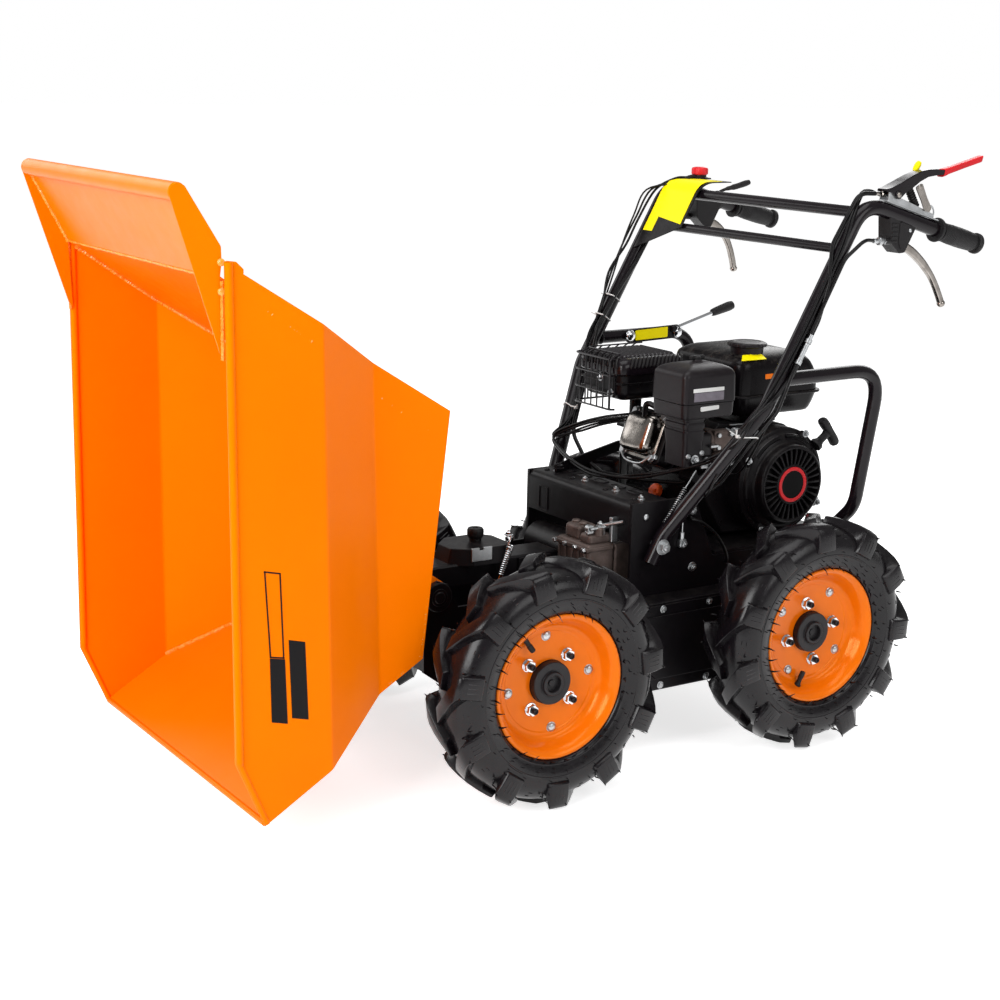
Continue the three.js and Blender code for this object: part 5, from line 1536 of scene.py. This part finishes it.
def guards():
    for s in SIDES:
        side = SIDE_NAME[s]
        start = bar_at(644, -10.5)
        line = mirrored([start, (-718, 262, 640), (-697, 240, 392), (-696, 179, 332), (-696, 159.3, 332)], s)
        shapes = [bent(line, 12, 60, 28, 10)]
        ring = [p - at(2, 0, 0) for p in circle(start, AHEAD, 12.2, 24)]
        shapes.append(weld([at(p.x, s * p.y, p.z) for p in ring + ring[:1]], 1.8, 81 + s))
        shapes.append(turned([(19, 0), (19, 4), (17.5, 5)], (-696, s * 159.3, 332), (0, s, 0), 32))
        piece("guard_tube_" + side, shapes, bar_black, stands_for=["guard_" + side], weighted=False)


def grips():
    for s in SIDES:
        side = SIDE_NAME[s]
        start, end = mirrored([BAR_PATH[4], BAR_PATH[5]], s)
        way = end - start
        length = way.length
        profile = [(13.2, -8), (20.6, -7.6), (21.5, -6.4), (21.5, -3.8), (20.6, -2.6), (15.5, -1.8),
                   (15.3, 2.6), (17.2, 3.6), (17.6, 6.4), (16.0, 8)]
        for k in range(22):
            h = 10 + k * (length - 24) / 22
            swell = 15.3 + 2.1 * sin(pi * h / length) ** 1.3
            rise = 0.6 if k < 7 else 0.25
            profile += [(swell, h), (swell + rise, h + 0.8), (swell + rise, h + 2.0), (swell, h + 2.8)]
        profile += [(14.6, length - 12), (14.5, length - 6.4), (17.6, length - 5.6), (18.5, length - 4.4),
                    (18.5, length + 0.4), (17.6, length + 1.6), (6, length + 2.2), (5.2, length + 0.6)]
        piece("grip_rubber_" + side, [turned(profile, start, way, 40)], grip_rubber,
              stands_for=["grip_" + side], sharp=50)


BRAKE_LINES = {1: [(-744, 852), (-758, 848), (-776, 838), (-796, 823), (-810, 810), (-823, 796), (-835, 779),
                   (-845, 762), (-852, 749)],
               -1: [(-744, 852), (-760, 847), (-777, 836), (-792, 819), (-803, 799),
                    (-811, 777), (-816, 759)]}


def controls():
    for s in SIDES:
        side = SIDE_NAME[s]
        outline = rounded([(-741, 842), (-728, 841), (-706, 861), (-702, 906), (-766, 887)],
                          [7, 5, 8, 3, 3], 4)
        a, b = across(s, 246, 277)
        shapes = [soft_plate(outline, a, b, width=3, segments=3)]
        for z in (891, 884, 876.5, 869, 862):
            shapes.append(soft_block((-720, -707), (s * 276, s * 278.6), (z - 1.7, z + 1.7), 0.7))
        face = rounded([(-737, 848), (-729, 848), (-724, 860), (-725, 896), (-757, 886)], 4, 3)
        shapes += [soft_plate(face, *across(s, 276, 278.4), width=0.9),
                   turned([(6, 0), (6, 12), (4.4, 14)], (-707, s * 272, 862), (1, 0, 0.1), 20)]
        piece("control_housing_" + side, shapes, lid_black, stands_for=["switch_housing_" + side])
        nozzle, way = at(-700, s * 272, 862), at(1, s * 0.12, 0.08)     # cable adjuster
        bits = [domed((-749, s * 278, 880), (0, s, 0), 3.4, 1.6),
                turned([(5.4, 4), (5.4, 8)], nozzle, way, 6),
                turned([(3.6, 5), (3.6, 16)], nozzle, way, 16),
                turned([(6.4, 14), (7.0, 15), (7.0, 21), (6.2, 22)], nozzle, way, 20),
                turned([(4.2, 22), (4.2, 34), (3.6, 35)], nozzle, way, 16)]
        piece("cable_adjuster_" + side, bits, zinc, sharp=28)
        y = s * 262
        line = smooth_path([(x, y, z) for x, z in BRAKE_LINES[s]], 5)
        rings = []
        for i, (p, (way, u, v)) in enumerate(zip(line, frames(line, LEFT))):
            share = min(1.0, 1.6 * i / (len(line) - 1))
            wide, deep = 6.6 - 1.4 * share, 8.4 - 3.2 * share
            rings.append([p + u * wide * a + v * deep * b for a,
                          b in rounded([(-1, -1), (1, -1), (1, 1), (-1, 1)], 0.5, 4)])
        tip, way = line[-1], (line[-1] - line[-3]).normalized()
        ball = turned([(3.2, -2), (5.8, 0), (7.4, 3.4), (7.4, 6.6), (5.6, 9.6), (2, 11)],
                      tip - way * 3, way, 24)
        pivot = rod((-748, y - 12, 852), (-748, y + 12, 852), 4.2, 20, 0.8)
        piece("brake_lever_blade_" + side, [skin(rings), ball, pivot], lever_metal,
              stands_for=["brake_lever_" + side], weighted=False)


PARK_ARM = [                      # x, top, bottom, half width of the pressed channel
    (-689, 951, 946.5, 12), (-698, 953, 945, 13.4), (-710, 957.5, 935, 13.6), (-722, 962, 936.5, 13.6),
    (-730, 965.5, 943, 13.4),
    (-748, 973, 952, 12.4), (-766, 979, 962, 11), (-786, 982, 969.5, 9.4), (-808, 982.4, 972, 8.4),
    (-830, 980.6, 973, 7.6)]


def park_lever():
    """Perch on top of the left bar, with the locking lever and its red grip."""
    def on_top(x, lift):
        return at(x, 265 + (x - CORNER_X) * -7 / TOP_RUN, top_z(x) + lift)

    section = rounded([(-10, -2), (10, -2), (10, 0.4), (-10, 0.4)], 0.6, 2)
    silver = [swept([on_top(-690, 14.4), on_top(-812, 14.4)], section, up=LEFT)]
    ear = rounded([(-693, 930), (-695, 948), (-708, 948), (-713, 938), (-732, 932), (-760, 922), (-804, 906),
                   (-803, 897)], 3, 3)
    silver += [soft_plate(ear, y, y + 2.4, width=0.5) for y in (255, 274.8)]
    hook = [(-796, 268, 904), (-797, 268, 915), (-804, 268, 920), (-811, 268, 913), (-812, 268, 903),
            (-806, 268, 900)]
    silver += [wire(hook, 1.4, 8, 4), rod((-714, 250, 941), (-714, 280, 941), 4.6, 20, 1)]
    piece("park_lever_perch", silver, zinc)
    link = rounded([(-753, 953), (-768, 960), (-781, 936), (-794, 917), (-790, 910), (-778, 912),
                    (-768, 930)], 4, 4)
    bright = [soft_plate(link, 278, 280.6, width=0.5), domed((-762, 280.6, 954), LEFT, 4, 2),
              domed((-714, 281.2, 941), LEFT, 4.8, 2.4)]
    bright += [turned([(5.4, 0), (5.4, 9), (4, 10), (4, 20), (3, 22)], (-698, 264, 941), (1, 0, 0.1), 6)]
    piece("park_lever_link", bright, lever_metal, slot="zinc")
    piece("park_lever_spring", [coil((-750, 266, 950), (-770, 266, 918), 6.2, 1.4, 8),
                                rod((-751, 266, 948), (-769, 266, 920), 5, 16, 1)],
          dark_steel, weighted=False)
    rings = []
    for x, top, low, w in PARK_ARM:
        rings.append([at(x, 266 + a, z) for a, z in (
            (-w, low), (-w, top - 1.6), (1.6 - w, top), (w - 1.6, top), (w, top - 1.6), (w, low),
            (w - 2, low), (w - 2, top - 3),
            (2 - w, top - 3), (2 - w, low))])
    piece("park_lever_arm", [skin(rings), turned([(7.4, 0), (7.4, 1.6), (6.2, 2.2), (4, 2.2)],
                                                 (-714, 279.4, 941), LEFT, 28)], bar_black,
          stands_for=["park_lever"], sharp=40, weighted=False)
    rings = []
    for (x, z), f in (((-826, 975.4), 1.08), ((-832, 977), 1.1), ((-840, 979), 0.96), ((-880, 989), 0.92),
                      ((-913, 997.2), 0.94),
                      ((-918, 998.4), 0.94), ((-919.5, 998.8), 0.8)):
        rings.append([at(x, 266, z) + at(0, a * 7.8 * f, 0) + at(-0.27, 0, 0.96) * b * 6.6 * f
                      for a, b in rounded([(-1, -1), (1, -1), (1, 1), (-1, 1)], 0.5, 5)])
    piece("park_lever_grip", [skin(rings)], red_plastic, sharp=50)

    arm = [soft_plate(rounded([(-716, 932), (-700, 936), (-770, 972), (-776, 968)], 3, 3),
                      247.6, 250, width=0.5),
           wire([(-770, 249, 969), (-775, 249, 973), (-779, 249, 980)], 2.0, 10, 4)]
    piece("throttle_arm", arm, lever_metal, stands_for=["throttle_lever"])
    knob = [turned([(3, 0), (4.6, 2.5), (5.6, 8), (5.5, 14), (3.8, 19), (1, 20.5)], (-778, 249, 978),
                   (-13, 0, 18), 24)]
    piece("throttle_knob", knob, yellow_label, slot="red_plastic")


def control_plate():
    """Folded plate in the corner of the right bar. The label on it is blank."""
    def surface(z0, y, lift, reach=70.0):
        out = BAR_FRONT * (12.0 + lift)
        low = at(bar_at(z0).x, y, z0) + out
        fold = at(bar_at(934).x + (12.0 + lift) / BAR_FRONT.x, y, 934 + lift)
        return rounded_path([low, fold, fold + at(-reach, 0, 0)], 48, 10)

    def low_edge(y):
        return 801 + (y + 259) * 47 / 109

    rows, inner = [[list(r) for r in zip(*[surface(low_edge(y), y, lift) for y in (-259, -222, -186, -150)])]
                   for lift in (2.0, 0.0)]
    offsets = [b[0] - a[0] for a, b in zip(rows, inner)]
    shapes = [softened(folded(rows, offsets), 0.5, 2, 60)]
    piece("control_panel_plate", shapes, frame_black, stands_for=["control_plate"])
    patches = []
    for y_from, y_to, reach in ((-255, -156, 54), (-255, -228, 0)):
        ys = [y_from, (y_from + y_to) / 2, y_to]
        if reach:
            lines = [surface(864 - (y + 255) * 12 / 99, y, 2.9, reach) for y in ys]
        else:
            lines = [[surface(z, y, 2.9)[0] for z in (834, 850, 865)] for y in ys]
        grid = [list(r) for r in zip(*lines)]
        fold = len(grid) / 2
        back = [-BAR_FRONT * 0.8 if k < fold else at(0, 0, -0.8) for k in range(len(grid))]
        patches.append(folded(grid, back))
    piece("control_panel_label", patches, yellow_label, sharp=60)

    c = at(-702, -240, 935.8)
    piece("stop_switch_base", [turned([(16, 0), (16, 3), (13, 5), (13, 9)], c, UP, 36),
                               soft_block((-720, -684), (-254, -226), (935.7, 938.4), 1.2),
                               turned([(5, 6), (5.4, 14), (4, 30), (3, 33)], c + at(0, 0, 5),
                                      (1, 0.1, -0.05), 20)], lid_black)
    rings = []
    for r, h in ((12, 7.6), (14.4, 8.4), (15.4, 10), (15.4, 19), (14.2, 21.6), (9, 22.8), (2, 22.8)):
        ring = []
        for j in range(64):
            q, edge = 2 * pi * j / 64, 0.6 if j % 4 < 2 and 9 < h < 20 else 0
            ring.append(c + at((r + edge) * cos(q), (r + edge) * sin(q), h))
        rings.append(ring)
    piece("stop_switch_cap", [skin(rings)], red_plastic, stands_for=["stop_switch"], sharp=45)
    root = at(-772, -268, top_z(-772))
    paddle = [turned([(13.1, -7), (17.4, -6), (17.4, 6), (13.1, 7)], root, (-173, 0, -52), 32),
              wire([root + at(0, 0, 14), (-790, -266, 913), (-815, -264, 918), (-846, -262, 926)],
                   [3.0] * 5 + [4.2] * 2 + [5.6] * 3 + [6.0] * 2 + [4.8], 14, 4)]
    piece("choke_paddle", paddle, lid_black)


def gear_selector():
    y = -250.0
    plate_shape = soft_plate(rounded([(-676, 630), (-676, 656), (-546, 652), (-546, 626)], 9, 4), y,
                             y + 4.4, width=0.8)
    stop = [soft_block((-668, -652), (y + 4, y + 10), (642, 654), 2),
            rod((-664, y + 6, 648), (-668, y + 6, 652), 6, 16)]
    piece("gear_selector_plate", [plate_shape] + stop, frame_black, stands_for=["gear_selector"],
          slot="black_plastic")
    label = soft_plate(rounded([(-644, 633), (-644, 653), (-566, 650), (-566, 631)], 2, 2), y + 4.3,
                       y + 5.2, width=0.2)
    piece("gear_selector_label", [label], yellow_label)
    bits = [rod((-662, y + 8, 650), (-762, y + 4, 676), 4.0, 16)]
    for x in (-554, -667):
        bits += [washer((x, y + 4.4, 641), LEFT, 10.5, 1.6), domed((x, y + 6, 641), LEFT, 10, 5)]
        bits += [rod((x, y - 28, 641), (x, y + 4, 641), 4, 16), hexagon((x, y - 27, 641), RIGHT, 13, 6)]
    piece("gear_lever_rod", bits, chrome)
    a, b = at(-752, y + 4, 673.6), at(-806, y + 4, 687.6)
    n = (b - a).length
    knob = turned([(5.4, 0), (7.0, 2), (8.0, 10), (9.0, n * 0.55), (9.4, n * 0.8), (8.2, n * 0.96),
                   (4, n)], a, b - a, 28)
    piece("gear_lever_grip", [knob], grip_rubber, slot="black_plastic")


def cables():
    lie, slope = 19.5, 16.6
    top = top_z(-690) + 13.7 + 7.5
    route = [at(-676, 263, top + 5), at(-640, 262, top + 6), bar_at(850, 20, 3), bar_at(795, 6, -16),
             bar_at(740, -9, -14.6),
             bar_at(655, -9, -14.6), bar_at(610, 4, -17), low_bar(565, 18, 2, 1), low_bar(535, -4, -lie, 1),
             at(-455, 160, 485),
             at(-462, 100, 452), at(-450, 66, 424), at(-424, -30, 414), at(-396, -112, 415),
             at(-386, -152, 437), low_bar(475, -5, -18.5, -1), low_bar(545, -3, -20.5, -1),
             bar_at(600, 0, lie + 1, -1), bar_at(655, slope, slope, -1), bar_at(720, 10, 16, -1),
             bar_at(780, 2, 18.5, -1),
             bar_at(850, 0, 19, -1), at(-636, -250, 872), at(-652, -268, 868), at(-667, -275.6, 865)]
    piece("cross_cable_sheath", [tube(rounded_path(route, 55, 8), 3.9, 14)], cable_black,
          stands_for=["cross_cable"], weighted=False)
    route = [at(-667, 276, 865), at(-640, 283, 868), bar_at(838, 0, 1 - lie), bar_at(650, -3, -lie),
             low_bar(588, 5 - lie, lie - 1, 1), low_bar(520, -lie - 1, 11, 1), at(-420, 200, 455),
             at(-382, 163.5, 412), at(-371, 163.5, 388)]
    piece("shift_cable_sheath", [tube(rounded_path(route, 45, 8), 3.3, 14)], cable_black,
          stands_for=["shift_cable"], weighted=False)
    # thin wires: from the stop switch down the right bar to the engine, and the throttle wires beside them
    wires = []
    for k in range(3):
        d, e = 4.2 * k, (-1) ** k * 2.5
        line = [(-672, -238 + d, 939.6), (-650, -250 + d, 937 - d), bar_at(905 - d, 20 + 2.2 * d, -3, -1),
                bar_at(850, 24 + 1.6 * d, -6, -1),
                bar_at(800, 27 + d, -4 + e, -1), bar_at(745, 34 - 1.4 * d, -3, -1),
                bar_at(690, 18, 1 + e, -1),
                bar_at(640, 17 + e, 6, -1), bar_at(604, 14, 14 + e, -1), low_bar(560, 10, -18 + e, -1),
                low_bar(505, 8, -20 + e, -1)]
        if k < 2:
            line += [at(-352, -206, 468 + 2 * e), at(-368, -150, 487 + d), at(-388, -90, 511 + d),
                     at(-412, 8, 538 + d), at(-440, 40, 546)]
        else:
            line += [low_bar(462, 6, -20, -1), at(-366, -170, 436), at(-430, -120, 430)]
        wires.append(wire(line, 2.3 - 0.3 * k))
    # two more down the left bar, in a long loop in front of the engine and back to it from the right
    for k, e in enumerate((0.0, 5.0)):
        line = [(-716, 246, 934), (-672, 244 - e, 946)]
        for z, q in ((900, 30), (850, 55), (760, 68), (690, 68), (620, 50)):
            q = radians(q - 3.4 * e)
            line.append(bar_at(z, 16 * cos(q), -16 * sin(q)))
        line += [low_bar(575, 15, 6 - e, 1), (-406, 256 - 3 * e, 536 - e),
                (-400 - e, 196, 500 - e), (-398 + 5 * e, 125, 470 - e), (-358 + 3 * e, 60, 449 - e),
                 (-327, -20, 433 + e),
                (-329, -100, 438 + e), (-342, -180, 457 + e), (-350, -196, 472 + e), (-369, -160, 494 + e),
                 (-382, -100, 516 + e),
                (-393, -40, 531 + e), (-410, 20, 543 + e), (-446, 62, 548)]
        wires.append(wire(line, 2.4))
    wires += [wire([(-462, 262, 560), (-470, 212, 492), (-486, 160, 455), (-480, 122, 462)], 2.0),
              wire([low_bar(480, 4, 15, 1), low_bar(440, -10, 14, 1), (-395, 166, 432), (-372, 164, 402)],
                   1.8, 8)]
    vent = [(-388, 160, 390), (-390, 168, 388), (-412, 172, 378), (-440, 173, 355), (-462, 171, 325),
            (-471, 167, 304), (-472, 160, 300)]
    wires.append(wire(vent, 3.0, 12))
    piece("thin_cables", wires, cable_black, weighted=False)
    bits = []
    a, b = bar_at(716, -4, -20), bar_at(668, -4, -20)
    way = b - a
    n = way.length
    bits += [turned([(4.4, 0), (4.4, 8), (6.2, 8.4), (6.2, 16), (4.6, 16.4), (4.6, n - 8), (5.6, n - 7.6),
                     (5.6, n), (3, n + 1)],
                    a, way, 20)]
    a, b = at(-367, 172, 446), at(-325, 170, 388)
    bits += [coil(a, b, 3.4, 0.8, 18), rod(a, a + (a - b) * 0.5, 1.0, 6), rod(b, (-312, 172, 352), 1.3, 6)]
    bits += [rod((-371, 163.5, 390), (-371, 163.5, 352), 1.4, 8),
             turned([(4, 0), (4, 14)], (-371, 163.5, 366), (0, 0, -1), 6)]
    bits += [soft_block((-378, -364), (159.2, 168), (340, 354), 1.5)] + bolt((-371, 168, 347), LEFT, 9, 5)
    piece("cable_fittings", bits, zinc, sharp=28)
    ties = []
    for z in (676, 712):
        ties += tied([(bar_at(z, s=-1), BAR_R), (bar_at(z, 14, 14, -1), 4),
                      (bar_at(z, 17, 1, -1), 4)], BAR_UP)
    ties += tied([(low_bar(518, 0, 0, -1), BAR_R), (low_bar(518, 8, -20, -1), 5)], at(133, 92.7, -224))
    ties += tied([(low_bar(545, 0, 0, 1), BAR_R), (low_bar(545, -4, -lie, 1), 4), (low_bar(545, 14, 4, 1), 4),
                  (low_bar(545, 6 - lie, lie - 4, 1), 4)], at(133, -92.7, -224), 18)
    piece("cable_ties", ties, grey_label, slot="zinc", weighted=False)


for build in (handlebar, guards, grips, controls, park_lever, control_plate, gear_selector, cables):
    build()
